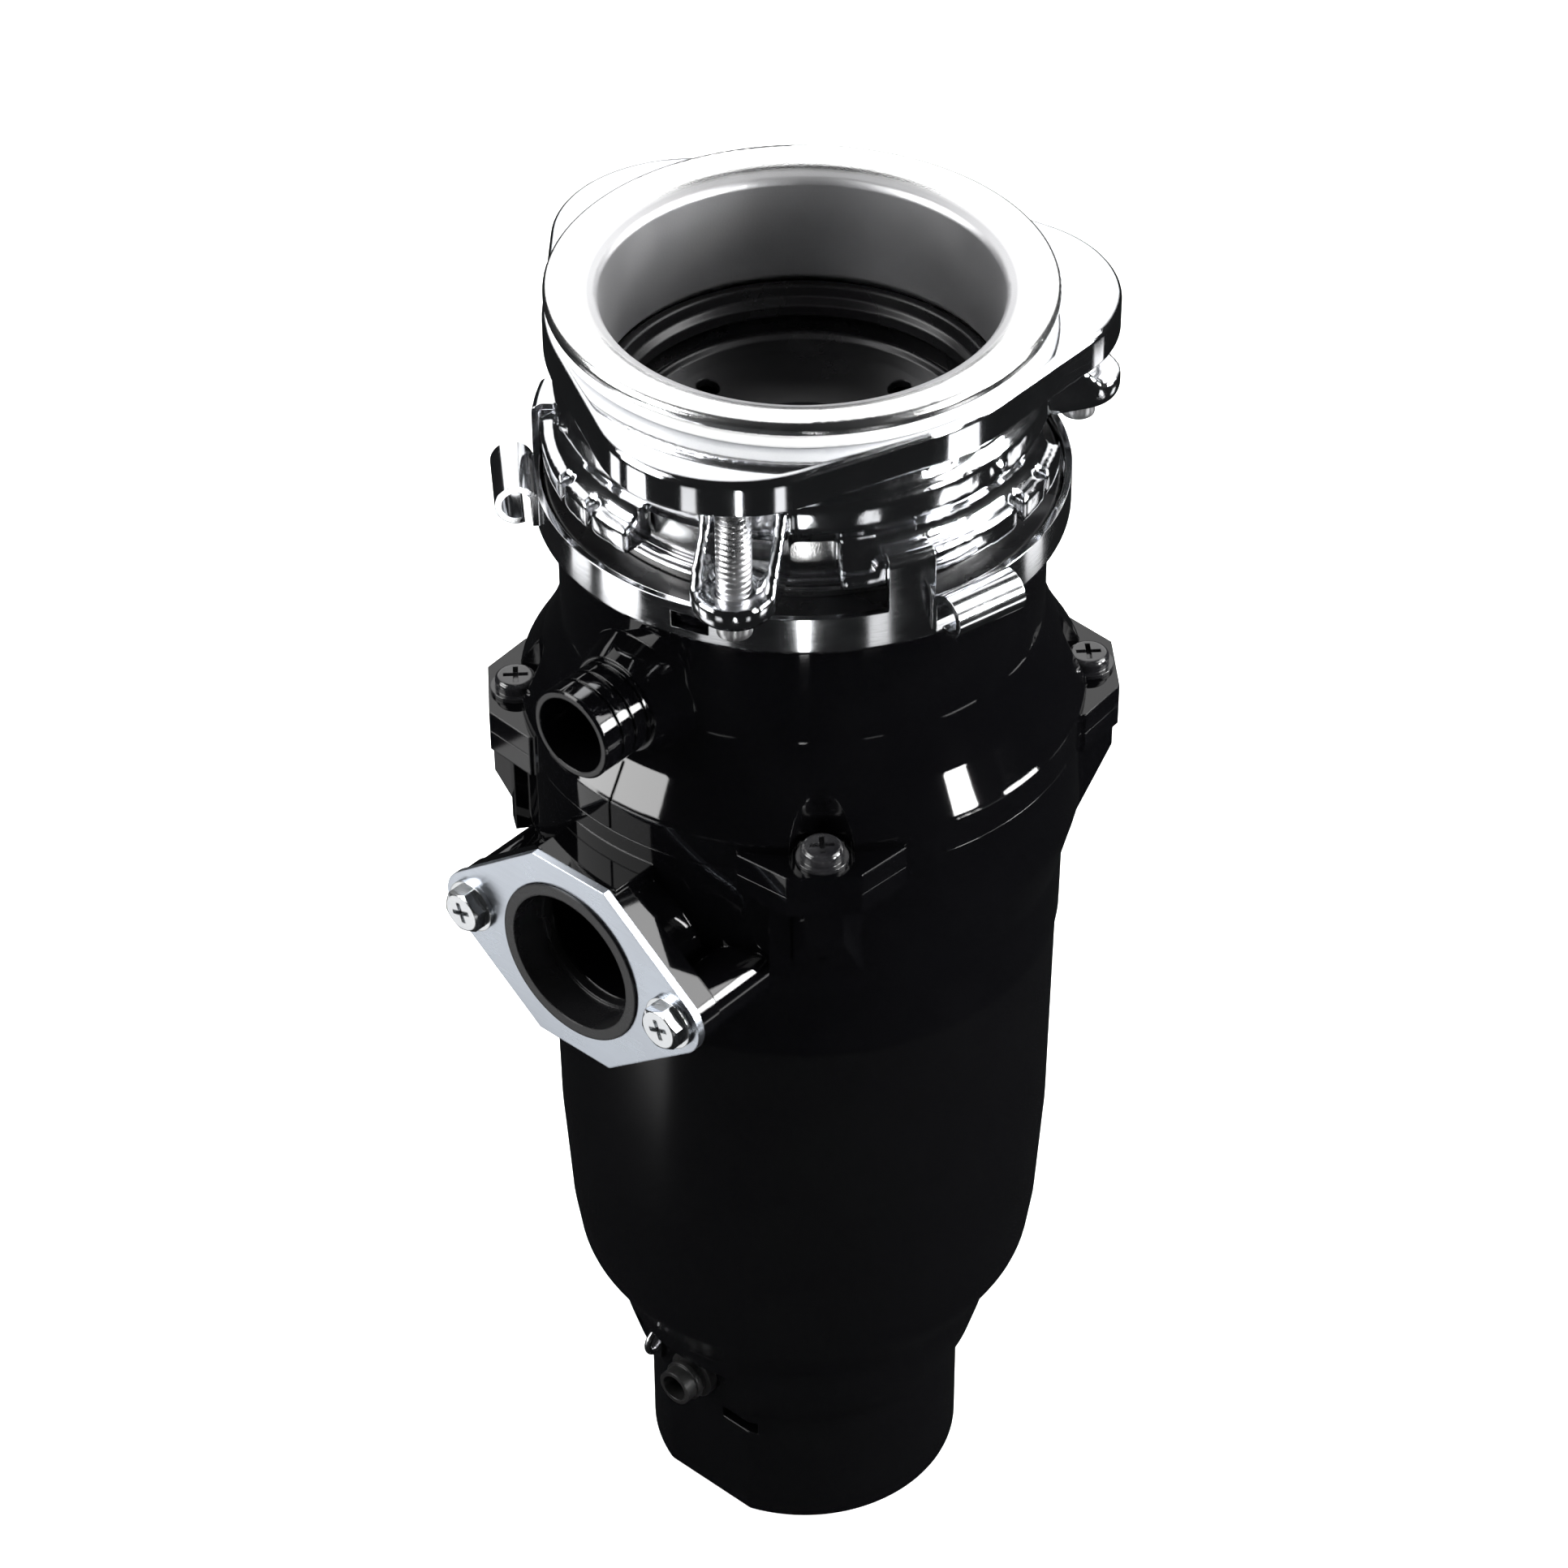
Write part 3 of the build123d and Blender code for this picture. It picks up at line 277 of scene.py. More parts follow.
@dataclass(frozen=True)
class Metal:
    """A bare, plated or cast metal."""

    name: str
    bright: Colour
    dull: Colour
    smooth: float
    rough: float
    lay: Lay = Lay.NONE
    line_depth: float = 0.0
    line_scale: float = 2600.0
    wave_depth: float = 0.0
    wave_scale: float = 90.0
    grain_depth: float = 0.0
    grain_scale: float = 1800.0
    edge: float = 0.0004
    coat: float = 0.0

    def lines(self, graph: Graph) -> bpy.types.NodeSocket:
        """The fine lines left by rolling, turning or brushing."""
        if self.lay is Lay.AROUND:
            return graph.noise(1.0, 2.0, graph.around(self.line_scale, 14.0))
        if self.lay is Lay.ALONG_X:
            return graph.noise(1.0, 2.0, graph.stretched((30.0, self.line_scale, self.line_scale)))
        if self.lay is Lay.ALONG_Z:
            return graph.noise(1.0, 2.0, graph.stretched((self.line_scale, self.line_scale, 30.0)))
        return graph.noise(self.line_scale, 2.0)

    def material(self) -> bpy.types.Material:
        """Builds the metal's material.

        Returns:
            The material, with its lines, waves, grain and handling marks.
        """
        graph = Graph(self.name)
        marks = graph.noise(70.0, 5.0)
        lines = self.lines(graph)
        normal = graph.rounded(self.edge)
        if self.wave_depth:
            normal = graph.bump(graph.noise(self.wave_scale, 1.5), self.wave_depth, 1.0, normal)
        if self.grain_depth:
            normal = graph.bump(graph.noise(self.grain_scale, 2.0), self.grain_depth, 1.0, normal)
        if self.line_depth:
            normal = graph.bump(lines, self.line_depth, 1.0, normal)
        roughness = graph.math(
            "ADD", graph.spread(marks, self.smooth, self.rough), graph.spread(lines, 0.0, 0.04)
        )
        shade = graph.math("MULTIPLY", graph.spread(marks, 0.25, 1.0), graph.spread(lines, 0.6, 1.0))
        return graph.finish(
            Base_Color=graph.tint(shade, self.dull, self.bright),
            Metallic=1.0,
            Roughness=roughness,
            Coat_Weight=self.coat,
            Normal=normal,
        )


@dataclass(frozen=True)
class Moulding:
    """A moulded plastic, rubber or painted surface."""

    name: str
    colour: Colour
    mark: Colour
    smooth: float
    rough: float
    specular: float = 0.5
    grain_depth: float = 0.000004
    grain_scale: float = 2400.0
    wave_depth: float = 0.00003
    wave_scale: float = 34.0
    edge: float = 0.0005
    coat: float = 0.0
    coat_roughness: float = 0.05
    sheen: float = 0.0

    def material(self) -> bpy.types.Material:
        """Builds the moulding's material.

        Returns:
            The material, with mould grain, slight sink waves, dust and rub marks.
        """
        graph = Graph(self.name)
        marks = graph.noise(55.0, 6.0)
        specks = graph.noise(self.grain_scale, 3.0)
        normal = graph.rounded(self.edge)
        normal = graph.bump(graph.noise(self.wave_scale, 1.0), self.wave_depth, 1.0, normal)
        normal = graph.bump(specks, self.grain_depth, 1.0, normal)
        soil = graph.math("MULTIPLY", graph.spread(marks, 0.0, 1.0, 0.45, 0.75), graph.spread(specks, 0.4, 1.0))
        return graph.finish(
            Base_Color=graph.tint(soil, self.colour, self.mark),
            Roughness=graph.spread(marks, self.smooth, self.rough),
            Specular_IOR_Level=self.specular,
            Coat_Weight=self.coat,
            Coat_Roughness=self.coat_roughness,
            Sheen_Weight=self.sheen,
            Normal=normal,
        )


@dataclass(frozen=True)
class Layered:
    """A surface built of fine layers or strands: windings, stacked sheet, felt or fibre board."""

    name: str
    high: Colour
    low: Colour
    roughness: float
    scale: Colour
    depth: float
    metallic: float = 0.0
    coat: float = 0.0
    sheen: float = 0.0

    def material(self) -> bpy.types.Material:
        """Builds the material.

        Returns:
            The material, with strands or layers in relief and colour.
        """
        graph = Graph(self.name)
        strands = graph.noise(1.0, 4.0, graph.stretched(self.scale))
        marks = graph.noise(60.0, 5.0)
        normal = graph.bump(strands, self.depth, 1.0, graph.rounded(0.0003))
        shade = graph.math("MULTIPLY", graph.spread(strands, 0.0, 1.0), graph.spread(marks, 0.6, 1.0))
        return graph.finish(
            Base_Color=graph.tint(shade, self.low, self.high),
            Metallic=self.metallic,
            Roughness=graph.math("ADD", graph.spread(marks, -0.06, 0.06), self.roughness),
            Coat_Weight=self.coat,
            Sheen_Weight=self.sheen,
            Normal=normal,
        )


@dataclass(frozen=True)
class RimSteel:
    """Pressed stainless steel, polished on the rim and left satin inside the throat."""

    name: str
    polished: Colour
    satin: Colour
    throat: float
    blend: float = 0.0012

    def material(self) -> bpy.types.Material:
        """Builds the material.

        Returns:
            The material, with a satin, finely pitted throat and a turned rim.
        """
        graph = Graph(self.name)
        split = graph.add("ShaderNodeSeparateXYZ")
        graph.feed(graph.place, split, 0)
        x, y, _ = split.outputs
        squares = graph.math("ADD", graph.math("MULTIPLY", x, x), graph.math("MULTIPLY", y, y))
        radius = graph.math("SQRT", squares)
        outside = graph.spread(radius, 0.0, 1.0, self.throat, self.throat + self.blend)
        marks = graph.noise(70.0, 5.0)
        pits = graph.noise(2600.0, 2.0)
        lines = graph.noise(1.0, 2.0, graph.around(2400.0, 14.0))
        normal = graph.bump(pits, 0.00003, 1.0, graph.rounded(0.0006))
        normal = graph.bump(lines, 0.000003, 1.0, normal)
        polish = graph.math("MULTIPLY", graph.spread(marks, 0.72, 1.0), outside)
        rough = graph.math("SUBTRACT", graph.spread(marks, 0.40, 0.46), graph.math("MULTIPLY", outside, 0.24))
        return graph.finish(
            Base_Color=graph.tint(polish, self.satin, self.polished), Metallic=1.0, Roughness=rough,
            Normal=normal,
        )


FINISHES: dict[str, Metal | Moulding | Layered | RimSteel] = {
    "stainless": RimSteel("stainless", (0.90, 0.90, 0.90), (0.56, 0.56, 0.57), 0.0472),
    "chrome_plate": Metal(
        "chrome_plate", (0.86, 0.87, 0.89), (0.74, 0.75, 0.78), 0.035, 0.07, wave_depth=0.00002,
        wave_scale=45.0, edge=0.0009,
    ),
    "chrome_casting": Metal(
        "chrome_casting", (0.84, 0.85, 0.87), (0.66, 0.67, 0.70), 0.05, 0.11, wave_depth=0.00035,
        wave_scale=110.0, grain_depth=0.000006, edge=0.0008,
    ),
    "chrome_sheet": Metal(
        "chrome_sheet", (0.82, 0.83, 0.85), (0.66, 0.67, 0.69), 0.07, 0.13, Lay.AROUND, 0.000003, 1800.0,
        wave_depth=0.00006, wave_scale=60.0, edge=0.0003,
    ),
    "zinc_plate": Metal(
        "zinc_plate", (0.62, 0.66, 0.72), (0.50, 0.54, 0.60), 0.22, 0.32, Lay.ALONG_X, 0.000004, 1500.0,
        grain_depth=0.000008, grain_scale=900.0, edge=0.0004,
    ),
    "zinc_bolt": Metal(
        "zinc_bolt", (0.80, 0.81, 0.82), (0.58, 0.60, 0.62), 0.12, 0.22, grain_depth=0.000008,
        grain_scale=1400.0, edge=0.0004,
    ),
    "screw_steel": Metal(
        "screw_steel", (0.90, 0.90, 0.91), (0.66, 0.66, 0.67), 0.24, 0.34, grain_depth=0.000006, edge=0.00008,
    ),
    "spring_steel": Metal(
        "spring_steel", (0.62, 0.62, 0.63), (0.40, 0.40, 0.42), 0.16, 0.28, grain_depth=0.000004, edge=0.0002,
    ),
    "grind_steel": Metal(
        "grind_steel", (0.66, 0.66, 0.66), (0.46, 0.46, 0.46), 0.24, 0.36, Lay.AROUND, 0.000008, 1500.0,
        edge=0.0003,
    ),
    "machined_steel": Metal(
        "machined_steel", (0.62, 0.63, 0.65), (0.42, 0.43, 0.45), 0.18, 0.30, Lay.AROUND, 0.000006, 3000.0,
        edge=0.0003,
    ),
    "bronze": Metal(
        "bronze", (0.62, 0.42, 0.22), (0.40, 0.26, 0.13), 0.32, 0.48, grain_depth=0.00002,
        grain_scale=2600.0, edge=0.0003,
    ),
    "aluminium": Metal(
        "aluminium", (0.72, 0.73, 0.75), (0.54, 0.55, 0.57), 0.34, 0.50, grain_depth=0.00003,
        grain_scale=1500.0, edge=0.0006,
    ),
    "can_steel": Metal(
        "can_steel", (0.30, 0.31, 0.33), (0.16, 0.17, 0.18), 0.32, 0.48, Lay.ALONG_Z, 0.000006, 1200.0,
        edge=0.0005,
    ),
    "brass": Metal(
        "brass", (0.78, 0.60, 0.30), (0.52, 0.38, 0.18), 0.20, 0.34, grain_depth=0.000006, edge=0.0002,
    ),
    "lamination": Layered(
        "lamination", (0.34, 0.34, 0.36), (0.12, 0.12, 0.13), 0.42, (20.0, 20.0, 2200.0), 0.00008, 1.0,
    ),
    "copper": Layered(
        "copper", (0.78, 0.33, 0.16), (0.36, 0.12, 0.05), 0.26, (900.0, 900.0, 140.0), 0.00022, 1.0, 0.4,
    ),
    "felt": Layered(
        "felt", (0.27, 0.27, 0.28), (0.15, 0.15, 0.16), 0.92, (900.0, 900.0, 900.0), 0.0003, sheen=0.5,
    ),
    "phenolic": Layered(
        "phenolic", (0.20, 0.11, 0.055), (0.12, 0.06, 0.03), 0.5, (260.0, 260.0, 1800.0), 0.00003,
    ),
    "ferrite": Layered(
        "ferrite", (0.11, 0.11, 0.12), (0.06, 0.06, 0.065), 0.55, (700.0, 700.0, 700.0), 0.00004,
    ),
    "carbon": Layered(
        "carbon", (0.06, 0.06, 0.062), (0.03, 0.03, 0.03), 0.5, (1200.0, 1200.0, 1200.0), 0.00002,
    ),
    "circuit": Layered(
        "circuit", (0.03, 0.20, 0.09), (0.015, 0.11, 0.05), 0.3, (500.0, 500.0, 90.0), 0.00003, coat=0.5,
    ),
    "white_rubber": Moulding(
        "white_rubber", (0.92, 0.92, 0.91), (0.86, 0.86, 0.85), 0.42, 0.58, grain_depth=0.00001,
    ),
    "black_rubber": Moulding(
        "black_rubber", (0.006, 0.006, 0.0065), (0.014, 0.014, 0.015), 0.22, 0.32, 0.32,
        grain_depth=0.000006, edge=0.0006,
    ),
    "baffle_rubber": Moulding(
        "baffle_rubber", (0.005, 0.005, 0.0055), (0.012, 0.012, 0.013), 0.20, 0.30, 0.4,
        grain_depth=0.000006, edge=0.0006,
    ),
    "gloss_black": Moulding(
        "gloss_black", (0.0012, 0.0012, 0.0015), (0.0018, 0.0018, 0.0021), 0.03, 0.05, 0.40,
        grain_depth=0.0000006, wave_depth=0.00003, wave_scale=26.0, edge=0.0006,
    ),
    "satin_black": Moulding(
        "satin_black", (0.0016, 0.0016, 0.0019), (0.0018, 0.0018, 0.0021), 0.19, 0.22, 0.34,
        grain_depth=0.0000012, wave_depth=0.00003, wave_scale=20.0, edge=0.0007,
    ),
    "gland_black": Moulding(
        "gland_black", (0.008, 0.008, 0.008), (0.02, 0.02, 0.02), 0.32, 0.46, 0.4,
    ),
    "black_screw": Moulding(
        "black_screw", (0.008, 0.008, 0.009), (0.05, 0.05, 0.052), 0.12, 0.24, 0.8, edge=0.0003,
    ),
    "red_button": Moulding(
        "red_button", (0.48, 0.012, 0.010), (0.34, 0.012, 0.010), 0.16, 0.26,
    ),
}


class Selection:
    """Short calls for picking objects and mesh elements before an operator."""

    @staticmethod
    def only(piece: bpy.types.Object) -> None:
        """Selects one object, and makes it the active one."""
        bpy.ops.object.select_all(action="DESELECT")
        piece.select_set(True)
        bpy.context.view_layer.objects.active = piece

    @staticmethod
    def settle(piece: bpy.types.Object) -> None:
        """Puts a piece's place and turn into its mesh."""
        Selection.only(piece)
        bpy.ops.object.transform_apply(location=True, rotation=True, scale=True)

    @staticmethod
    def apply(piece: bpy.types.Object, kind: str, **settings: object) -> None:
        """Adds a modifier to a piece and applies it.

        Args:
            piece: The piece to change.
            kind: The modifier's type.
            settings: Modifier properties to set on it.
        """
        Selection.only(piece)
        modifier = piece.modifiers.new(kind.title(), kind)
        for key, value in settings.items():
            setattr(modifier, key, value)
        bpy.ops.object.modifier_apply(modifier=modifier.name)


class Frame:
    """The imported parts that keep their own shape."""

    def __init__(self, materials: dict[str, bpy.types.Material]) -> None:
        """Keeps the materials by slot name."""
        self.materials = materials

    def dress(self) -> int:
        """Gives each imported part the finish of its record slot.

        Returns:
            How many parts were dressed.
        """
        for part in frame["record"]["subparts"]:
            piece = frame["nodes"][part["node"]]
            material = self.materials[part["material_slot"]]
            if not piece.material_slots:
                piece.data.materials.append(material)
            for place in piece.material_slots:
                place.material = material
        return len(frame["record"]["subparts"])


@dataclass
class MountCasting:
    """The mounting ring as a casting, with every inside corner and edge run soft."""

    node: str = "mounting_ring"
    name: str = "mount_casting"
    cell: float = 0.85 * MM
    passes: int = 5
    most_triangles: int = 120000

    def build(self, material: bpy.types.Material) -> bpy.types.Object:
        """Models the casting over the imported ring.

        Args:
            material: The casting's finish.

        Returns:
            The casting.
        """
        Selection.only(frame["nodes"][self.node])
        bpy.ops.object.duplicate()
        piece = bpy.context.object
        piece.name = self.name
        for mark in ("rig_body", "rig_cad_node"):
            if mark in piece:
                del piece[mark]
        piece.parent = None
        Selection.only(piece)
        bpy.ops.object.mode_set(mode="EDIT")
        bpy.ops.mesh.select_all(action="SELECT")
        bpy.ops.mesh.remove_doubles(threshold=WELD)
        bpy.ops.object.mode_set(mode="OBJECT")
        Selection.apply(piece, "REMESH", mode="VOXEL", voxel_size=self.cell)
        Selection.apply(piece, "SMOOTH", factor=0.5, iterations=self.passes)
        triangles = sum(len(face.vertices) - 2 for face in piece.data.polygons)
        share = min(1.0, self.most_triangles / max(1, triangles))
        Selection.apply(piece, "DECIMATE", ratio=share)
        bpy.ops.object.shade_smooth()
        piece.data.materials.clear()
        piece.data.materials.append(material)
        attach(piece, "housing")
        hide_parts(self.node)
        return piece


@dataclass
class ClampScrews:
    """The three socket-ended clamp screws, with true helical threads."""

    count: int = 3
    radius: float = 4.0 * MM
    root: float = 3.15 * MM
    pitch: float = 1.5 * MM
    point: float = 1.6 * MM
    socket: float = 2.3 * MM
    socket_depth: float = 3.0 * MM
    steps: int = 20

    def thread(self, low: float, high: float) -> bpy.types.Object:
        """Winds the thread between two heights, from a profile open towards the core.

        Args:
            low: Height of its lower end.
            high: Height of its upper end.

        Returns:
            The thread, a closed solid.
        """
        turns = int((high - low) / self.pitch) - 1
        outs = (self.root, self.radius, self.radius, self.root)
        rises = (0.0, 0.42, 0.58, 1.0)
        order = (0, 1, 3, 2)
        closing = {order[0], order[-1]}
        bpy.ops.object.select_all(action="DESELECT")
        bpy.ops.mesh.primitive_plane_add(size=self.pitch, location=(0.0, 0.0, 0.0))
        piece = bpy.context.object
        bpy.ops.object.mode_set(mode="EDIT")
        bpy.ops.mesh.delete(type="ONLY_FACE")
        bpy.ops.mesh.select_all(action="DESELECT")
        bpy.ops.object.mode_set(mode="OBJECT")
        for edge in piece.data.edges:
            edge.select = set(edge.vertices) == closing
        bpy.ops.object.mode_set(mode="EDIT")
        bpy.ops.mesh.select_mode(type="EDGE")
        bpy.ops.mesh.delete(type="EDGE")
        for number, out, rise in zip(order, outs, rises):
            self.move_point(piece, number, Vector((out, 0.0, low + rise * self.pitch)))
        bpy.ops.object.mode_set(mode="OBJECT")
        Selection.apply(
            piece, "SCREW", axis="Z", angle=math.tau, screw_offset=self.pitch, iterations=turns,
            steps=self.steps, render_steps=self.steps, use_merge_vertices=True, merge_threshold=WELD,
        )
        return self.closed(piece)

    @staticmethod
    def move_point(piece: bpy.types.Object, number: int, place: Vector) -> None:
        """Moves one point of a piece in edit mode.

        Args:
            piece: The piece being edited.
            number: The point's index.
            place: Where it goes.
        """
        bpy.ops.mesh.select_mode(type="VERT")
        bpy.ops.mesh.select_all(action="DESELECT")
        bpy.ops.object.mode_set(mode="OBJECT")
        piece.data.vertices[number].select = True
        shift = place - piece.data.vertices[number].co
        bpy.ops.object.mode_set(mode="EDIT")
        bpy.ops.transform.translate(value=shift)

    @staticmethod
    def closed(piece: bpy.types.Object) -> bpy.types.Object:
        """Merges a shell's doubles, fills its open ends and points its faces outwards.

        Args:
            piece: The shell.

        Returns:
            The same piece, closed.
        """
        Selection.only(piece)
        bpy.ops.object.mode_set(mode="EDIT")
        bpy.ops.mesh.select_mode(type="VERT")
        bpy.ops.mesh.select_all(action="SELECT")
        bpy.ops.mesh.remove_doubles(threshold=WELD)
        bpy.ops.mesh.select_all(action="DESELECT")
        bpy.ops.mesh.select_non_manifold(extend=False)
        bpy.ops.mesh.fill()
        bpy.ops.mesh.select_all(action="SELECT")
        bpy.ops.mesh.normals_make_consistent(inside=False)
        bpy.ops.object.mode_set(mode="OBJECT")
        return piece

    def core(self, low: float, high: float) -> bpy.types.Object:
        """Turns the core with its point and the hexagon socket in its lower end.

        Args:
            low: Height of its lower end.
            high: Height of its upper end.

        Returns:
            The core.
        """
        bpy.ops.object.select_all(action="DESELECT")
        bpy.ops.mesh.primitive_cylinder_add(
            vertices=6, radius=self.socket, depth=self.socket_depth,
            location=(0.0, 0.0, low + self.socket_depth / 2 - 0.1 * MM),
        )
        socket = bpy.context.object
        Selection.settle(socket)
        bpy.ops.object.select_all(action="DESELECT")
        bpy.ops.mesh.primitive_cylinder_add(
            vertices=48, radius=self.root + 0.05 * MM, depth=high - low, location=(0.0, 0.0, (low + high) / 2)
        )
        piece = bpy.context.object
        Selection.settle(piece)
        bpy.ops.object.mode_set(mode="EDIT")
        bpy.ops.mesh.select_all(action="SELECT")
        bpy.ops.mesh.bisect(plane_co=(0.0, 0.0, low + self.point), plane_no=(0.0, 0.0, 1.0))
        bpy.ops.mesh.select_all(action="DESELECT")
        bpy.ops.object.mode_set(mode="OBJECT")
        for point in piece.data.vertices:
            point.select = point.co.z < low + self.point + 0.1 * MM
        bpy.ops.object.mode_set(mode="EDIT")
        swell = (self.radius - 0.02 * MM) / (self.root + 0.05 * MM)
        bpy.ops.transform.resize(value=(swell, swell, 1.0), center_override=(0.0, 0.0, low))
        bpy.ops.object.mode_set(mode="OBJECT")
        Selection.apply(piece, "BOOLEAN", operation="DIFFERENCE", object=socket, solver="EXACT")
        Selection.apply(piece, "BEVEL", width=0.25 * MM, segments=2, limit_method="ANGLE", angle_limit=0.7)
        bpy.data.objects.remove(socket)
        return piece

    def build(self, material: bpy.types.Material) -> list[bpy.types.Object]:
        """Models one screw, and copies it to the three places.

        Args:
            material: The screws' finish.

        Returns:
            The screws.
        """
        low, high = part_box("clamp_screw_1")
        thread = self.thread(low.z + self.point - 0.3 * MM, high.z - 0.6 * MM)
        core = self.core(low.z + 0.02 * MM, high.z - 0.02 * MM)
        Selection.only(core)
        thread.select_set(True)
        bpy.ops.object.join()
        pattern = bpy.context.object
        bpy.ops.object.shade_smooth_by_angle(angle=math.radians(35.0))
        screws = []
        for number in range(1, self.count + 1):
            node = f"clamp_screw_{number}"
            low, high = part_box(node)
            middle = (low + high) / 2
            Selection.only(pattern)
            bpy.ops.object.duplicate()
            piece = bpy.context.object
            piece.name = f"threaded_screw_{number}"
            piece.location = (middle.x, middle.y, 0.0)
            Selection.settle(piece)
            piece.data.materials.clear()
            piece.data.materials.append(material)
            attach(piece, node)
            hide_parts(node)
            screws.append(piece)
        bpy.data.objects.remove(pattern)
        return screws


@dataclass(frozen=True)
class SoftBox:
    """One upright soft light: its bearing and height in degrees, its distance, size and brightness."""

    name: str
    turn: float
    height: float
    size: tuple[float, float]
    glow: float
    distance: float = 1.6


SIDE_BOXES = (
    SoftBox("left_box", -84.0, 42.0, (0.9, 0.7), 9.0),
    SoftBox("right_box", 92.0, 42.0, (0.9, 0.8), 9.0),
    SoftBox("low_left_box", -72.0, 12.0, (1.0, 0.42), 13.0),
    SoftBox("low_right_box", 61.0, 12.0, (0.26, 0.40), 60.0),
    SoftBox("side_box", 87.0, 17.0, (0.42, 0.45), 45.0),
)


@dataclass(frozen=True)
class Strip:
    """One soft light on the floor, in the ring that only the mount mirrors."""

    turn: float
    width: float
    glow: float


RING_STRIPS = (
    Strip(-152.0, 0.10, 1.6), Strip(-128.0, 0.16, 2.6), Strip(-84.0, 0.10, 1.0), Strip(-48.0, 0.03, 9.0),
    Strip(-18.0, 0.07, 1.1), Strip(24.0, 0.15, 2.4), Strip(62.0, 0.10, 1.4),
)


@dataclass
class Studio:
    """The floor, the sweep behind it, the lights and the camera."""

    camera_place: Colour = (0.5976, -0.6782, 0.9379)
    camera_pitch: float = 38.8
    camera_turn: float = 41.65
    camera_roll: float = -0.3
    lens: float = 111.8
    frame_shift: tuple[float, float] = (-0.0010, 0.0022)
    floor_size: float = 60.0
    floor_glow: float = 0.80
    room: float = 0.012
    ring_reach: float = 0.505
    ring_length: float = 0.13

    def floor(self) -> bpy.types.Object:
        """Lays the pale floor.

        Returns:
            The floor.
        """
        bpy.ops.object.select_all(action="DESELECT")
        bpy.ops.mesh.primitive_plane_add(size=self.floor_size, location=(0.0, 0.0, 0.0))
        piece = bpy.context.object
        piece.name = "floor"
        graph = Graph("floor_paint")
        tone = graph.tint(graph.noise(3.0, 2.0), (0.86, 0.86, 0.86), (0.84, 0.84, 0.84))
        material = graph.finish(
            Base_Color=tone, Roughness=0.9, Specular_IOR_Level=0.0, Emission_Color=(1.0, 1.0, 1.0, 1.0),
            Emission_Strength=self.floor_glow,
        )
        piece.data.materials.append(material)
        piece.visible_glossy = False
        return piece

    def sweep(self) -> bpy.types.Object:
        """Hangs a white backdrop far round the floor, seen only directly.

        Returns:
            The backdrop.
        """
        bpy.ops.object.select_all(action="DESELECT")
        bpy.ops.mesh.primitive_cylinder_add(
            vertices=64, radius=self.floor_size * 0.49, depth=40.0, location=(0.0, 0.0, 19.9),
            end_fill_type="NOTHING",
        )
        piece = bpy.context.object
        piece.name = "backdrop"
        graph = Graph("backdrop_paint")
        tone = graph.tint(graph.noise(0.4, 1.0), (0.98, 0.98, 0.98), (1.0, 1.0, 1.0))
        piece.data.materials.append(
            graph.finish(Base_Color=(0.0, 0.0, 0.0, 1.0), Emission_Color=tone, Emission_Strength=1.0)
        )
        for ray in ("glossy", "diffuse", "shadow", "transmission"):
            setattr(piece, f"visible_{ray}", False)
        Selection.settle(piece)
        return piece

    def light(
        self, name: str, turn: float, height: float, distance: float, size: tuple[float, float], glow: float
    ) -> bpy.types.Object:
        """Hangs one soft light, aimed at the middle of the disposer.

        Args:
            name: The light's name.
            turn: Its direction from the disposer, in degrees from the camera's, anticlockwise from above.
            height: Its elevation in degrees.
            distance: Its distance in metres.
            size: Its width and height in metres.
            glow: How bright its face is.

        Returns:
            The light.
        """
        data = bpy.data.lights.new(name, "AREA")
        data.shape = "RECTANGLE"
        data.size, data.size_y = size
        data.energy = glow * math.pi * size[0] * size[1]
        piece = bpy.data.objects.new(name, data)
        bpy.context.scene.collection.objects.link(piece)
        bearing = math.radians(self.camera_turn - 90.0 + turn)
        rise = math.radians(height)
        away = Vector((math.cos(bearing) * math.cos(rise), math.sin(bearing) * math.cos(rise), math.sin(rise)))
        target = Vector((0.0, 0.0, 0.22))
        piece.location = target + away * distance
        piece.rotation_euler = away.to_track_quat("Z", "Y").to_euler()
        return piece

    def shiny_parts(self) -> bpy.types.Collection:
        """The bare and plated metal parts, which alone mirror the low panels.

        Returns:
            A collection of those parts.
        """
        metals = bpy.data.collections.new("bare_metal")
        for piece in bpy.data.objects:
            slots = getattr(piece, "material_slots", ())
            finish = FINISHES.get(slots[0].material.name) if slots and slots[0].material else None
            if isinstance(finish, (Metal, RimSteel)):
                metals.objects.link(piece)
        return metals

    def panel(
        self, name: str, place: tuple[float, float], size: tuple[float, float], turn: float, glow: float,
        lit: bpy.types.Collection,
    ) -> bpy.types.Object:
        """Lays a soft light on the floor, facing up.

        Args:
            name: The light's name.
            place: Where its middle is on the floor, in metres.
            size: Its width and length in metres.
            turn: Its turn about the upright axis, in degrees.
            glow: How bright its face is.
            lit: The parts that it lights.

        Returns:
            The light.
        """
        data = bpy.data.lights.new(name, "AREA")
        data.shape = "RECTANGLE"
        data.size, data.size_y = size
        data.energy = glow * math.pi * size[0] * size[1]
        piece = bpy.data.objects.new(name, data)
        bpy.context.scene.collection.objects.link(piece)
        piece.location = (place[0], place[1], 0.002)
        piece.rotation_euler = (math.pi, 0.0, math.radians(turn))
        piece.visible_camera = False
        piece.light_linking.receiver_collection = lit
        return piece

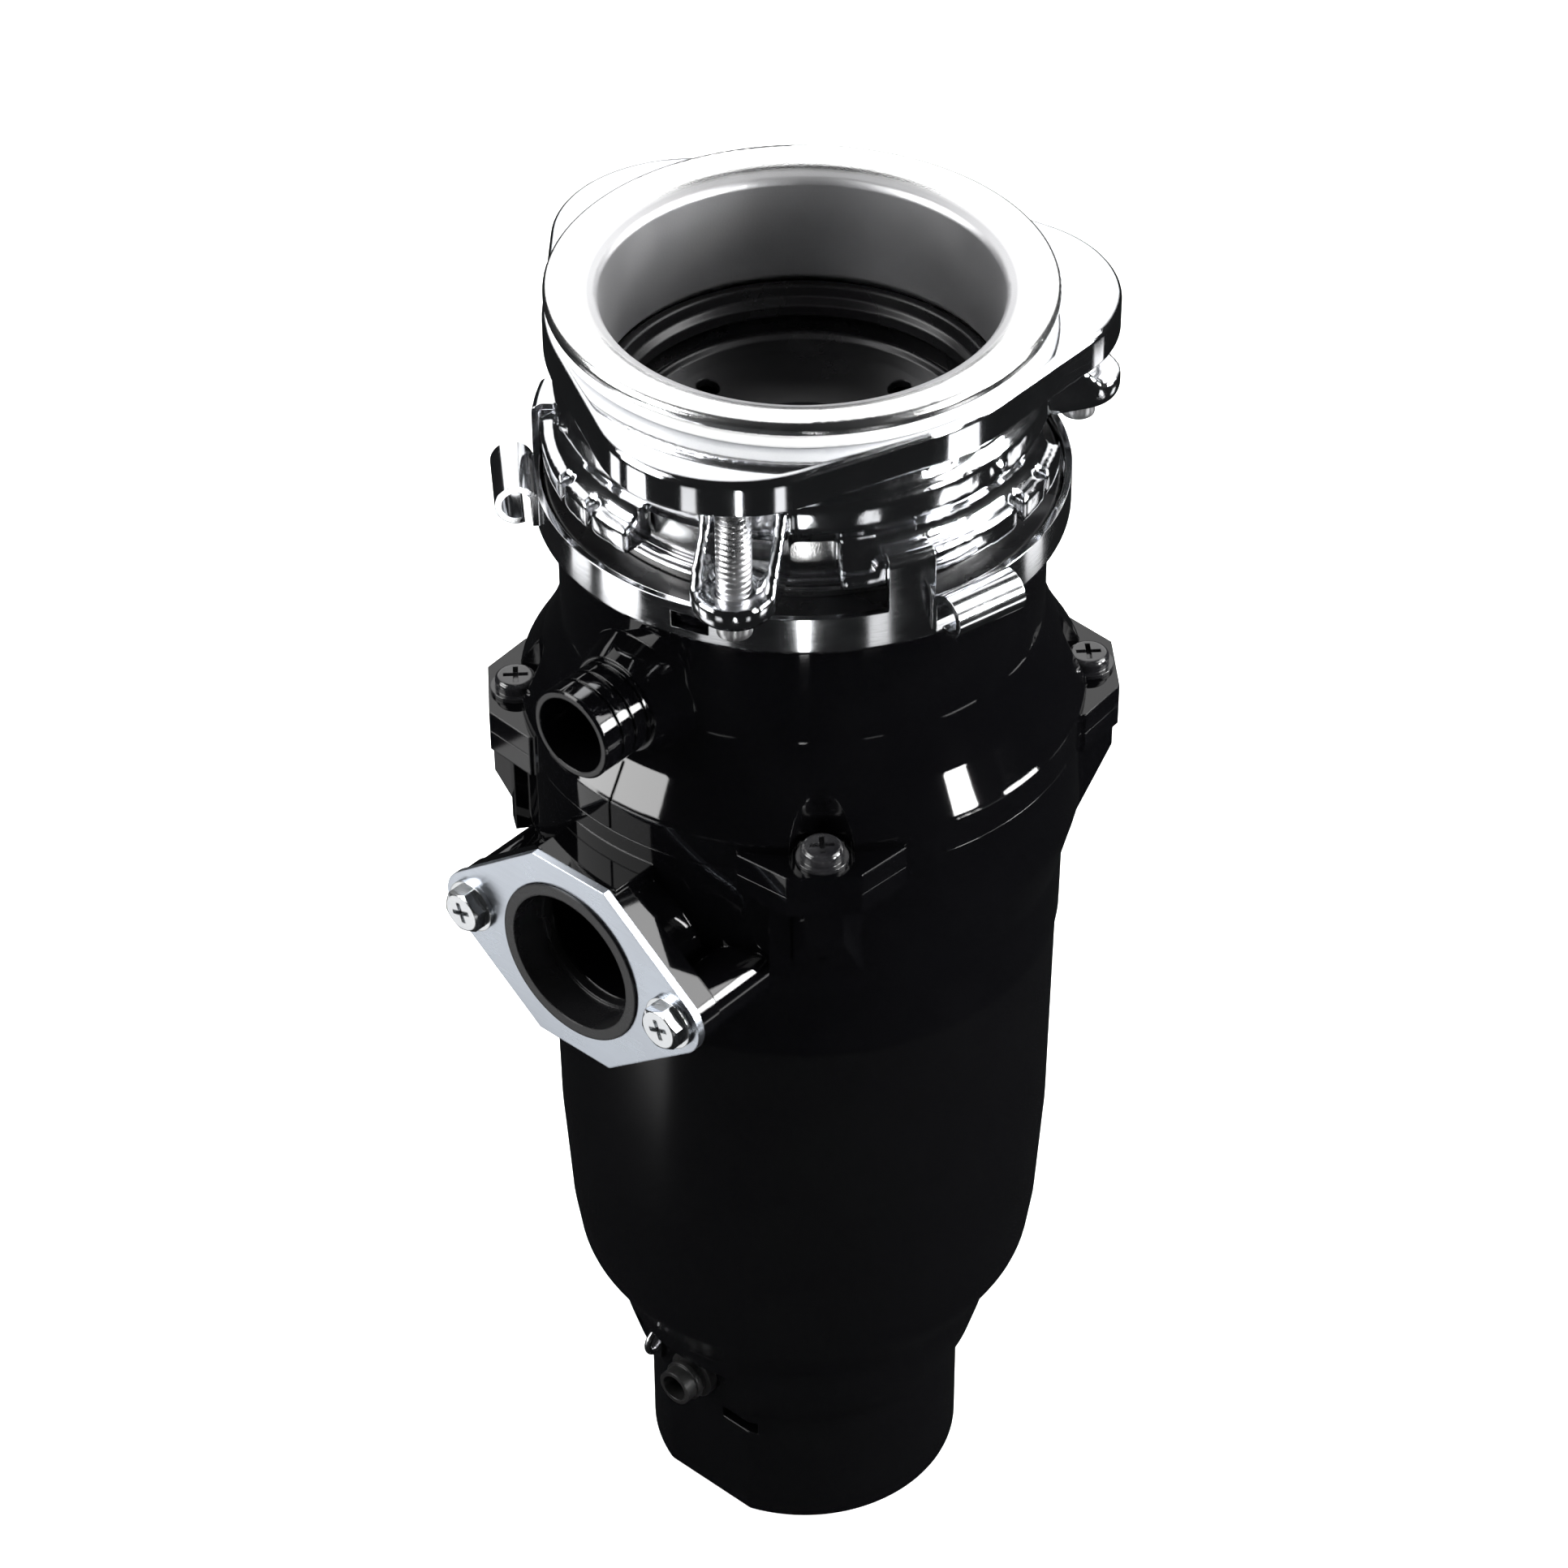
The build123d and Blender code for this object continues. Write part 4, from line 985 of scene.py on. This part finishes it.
    def camera(self) -> bpy.types.Object:
        """Sets up the camera.

        Returns:
            The camera.
        """
        data = bpy.data.cameras.new("camera")
        data.lens = self.lens
        data.sensor_width = 36.0
        data.clip_end = 200.0
        data.shift_x, data.shift_y = self.frame_shift
        piece = bpy.data.objects.new("camera", data)
        piece.location = self.camera_place
        aim = Euler((math.radians(90.0 - self.camera_pitch), 0.0, math.radians(self.camera_turn))).to_matrix()
        roll = Matrix.Rotation(math.radians(self.camera_roll), 3, "Z")
        piece.rotation_euler = (aim @ roll).to_euler()
        bpy.context.scene.collection.objects.link(piece)
        bpy.context.scene.camera = piece
        return piece

    def build(self) -> None:
        """Builds the whole studio."""
        self.floor()
        self.sweep()
        shiny = self.shiny_parts()
        back = self.light("back_box", 180.0, 40.0, 1.7, (2.6, 1.7), 1.7)
        back.light_linking.receiver_collection = shiny
        for box in SIDE_BOXES:
            self.light(box.name, box.turn, box.height, box.distance, box.size, box.glow)
        fill = self.light("front_fill", 0.0, 62.0, 1.6, (1.2, 0.8), 2.5)
        fill.visible_glossy = False
        self.panel("plate_panel", (-0.175, -0.285), (0.22, 0.17), 0.0, 1.15, shiny)
        for number, strip in enumerate(RING_STRIPS):
            way = math.radians(strip.turn)
            place = (self.ring_reach * math.cos(way), self.ring_reach * math.sin(way))
            size = (strip.width, self.ring_length)
            self.panel(f"ring_panel_{number}", place, size, strip.turn + 90.0, strip.glow, shiny)
        self.camera()
        world = bpy.data.worlds.new("room")
        world.use_nodes = True
        background = world.node_tree.nodes["Background"].inputs
        background["Color"].default_value = (0.92, 0.96, 1.0, 1.0)
        background["Strength"].default_value = self.room
        bpy.context.scene.world = world
        bpy.context.scene.view_settings.view_transform = "Standard"


def main() -> None:
    """Builds the finishes, the pieces and the studio in order, and reports each."""
    logging.basicConfig(level=logging.INFO, format="%(name)s: %(message)s", stream=sys.stdout)
    materials = {name: finish.material() for name, finish in FINISHES.items()}
    LOG.info("%d finishes", len(materials))
    LOG.info("%d packed parts dressed", Frame(materials).dress())
    casting = MountCasting().build(materials["chrome_casting"])
    LOG.info("%s: %d faces", casting.name, len(casting.data.polygons))
    for screw in ClampScrews().build(materials["screw_steel"]):
        LOG.info("%s: %d faces", screw.name, len(screw.data.polygons))
    Studio().build()
    LOG.info("studio ready")


if __name__ == "__main__":
    main()
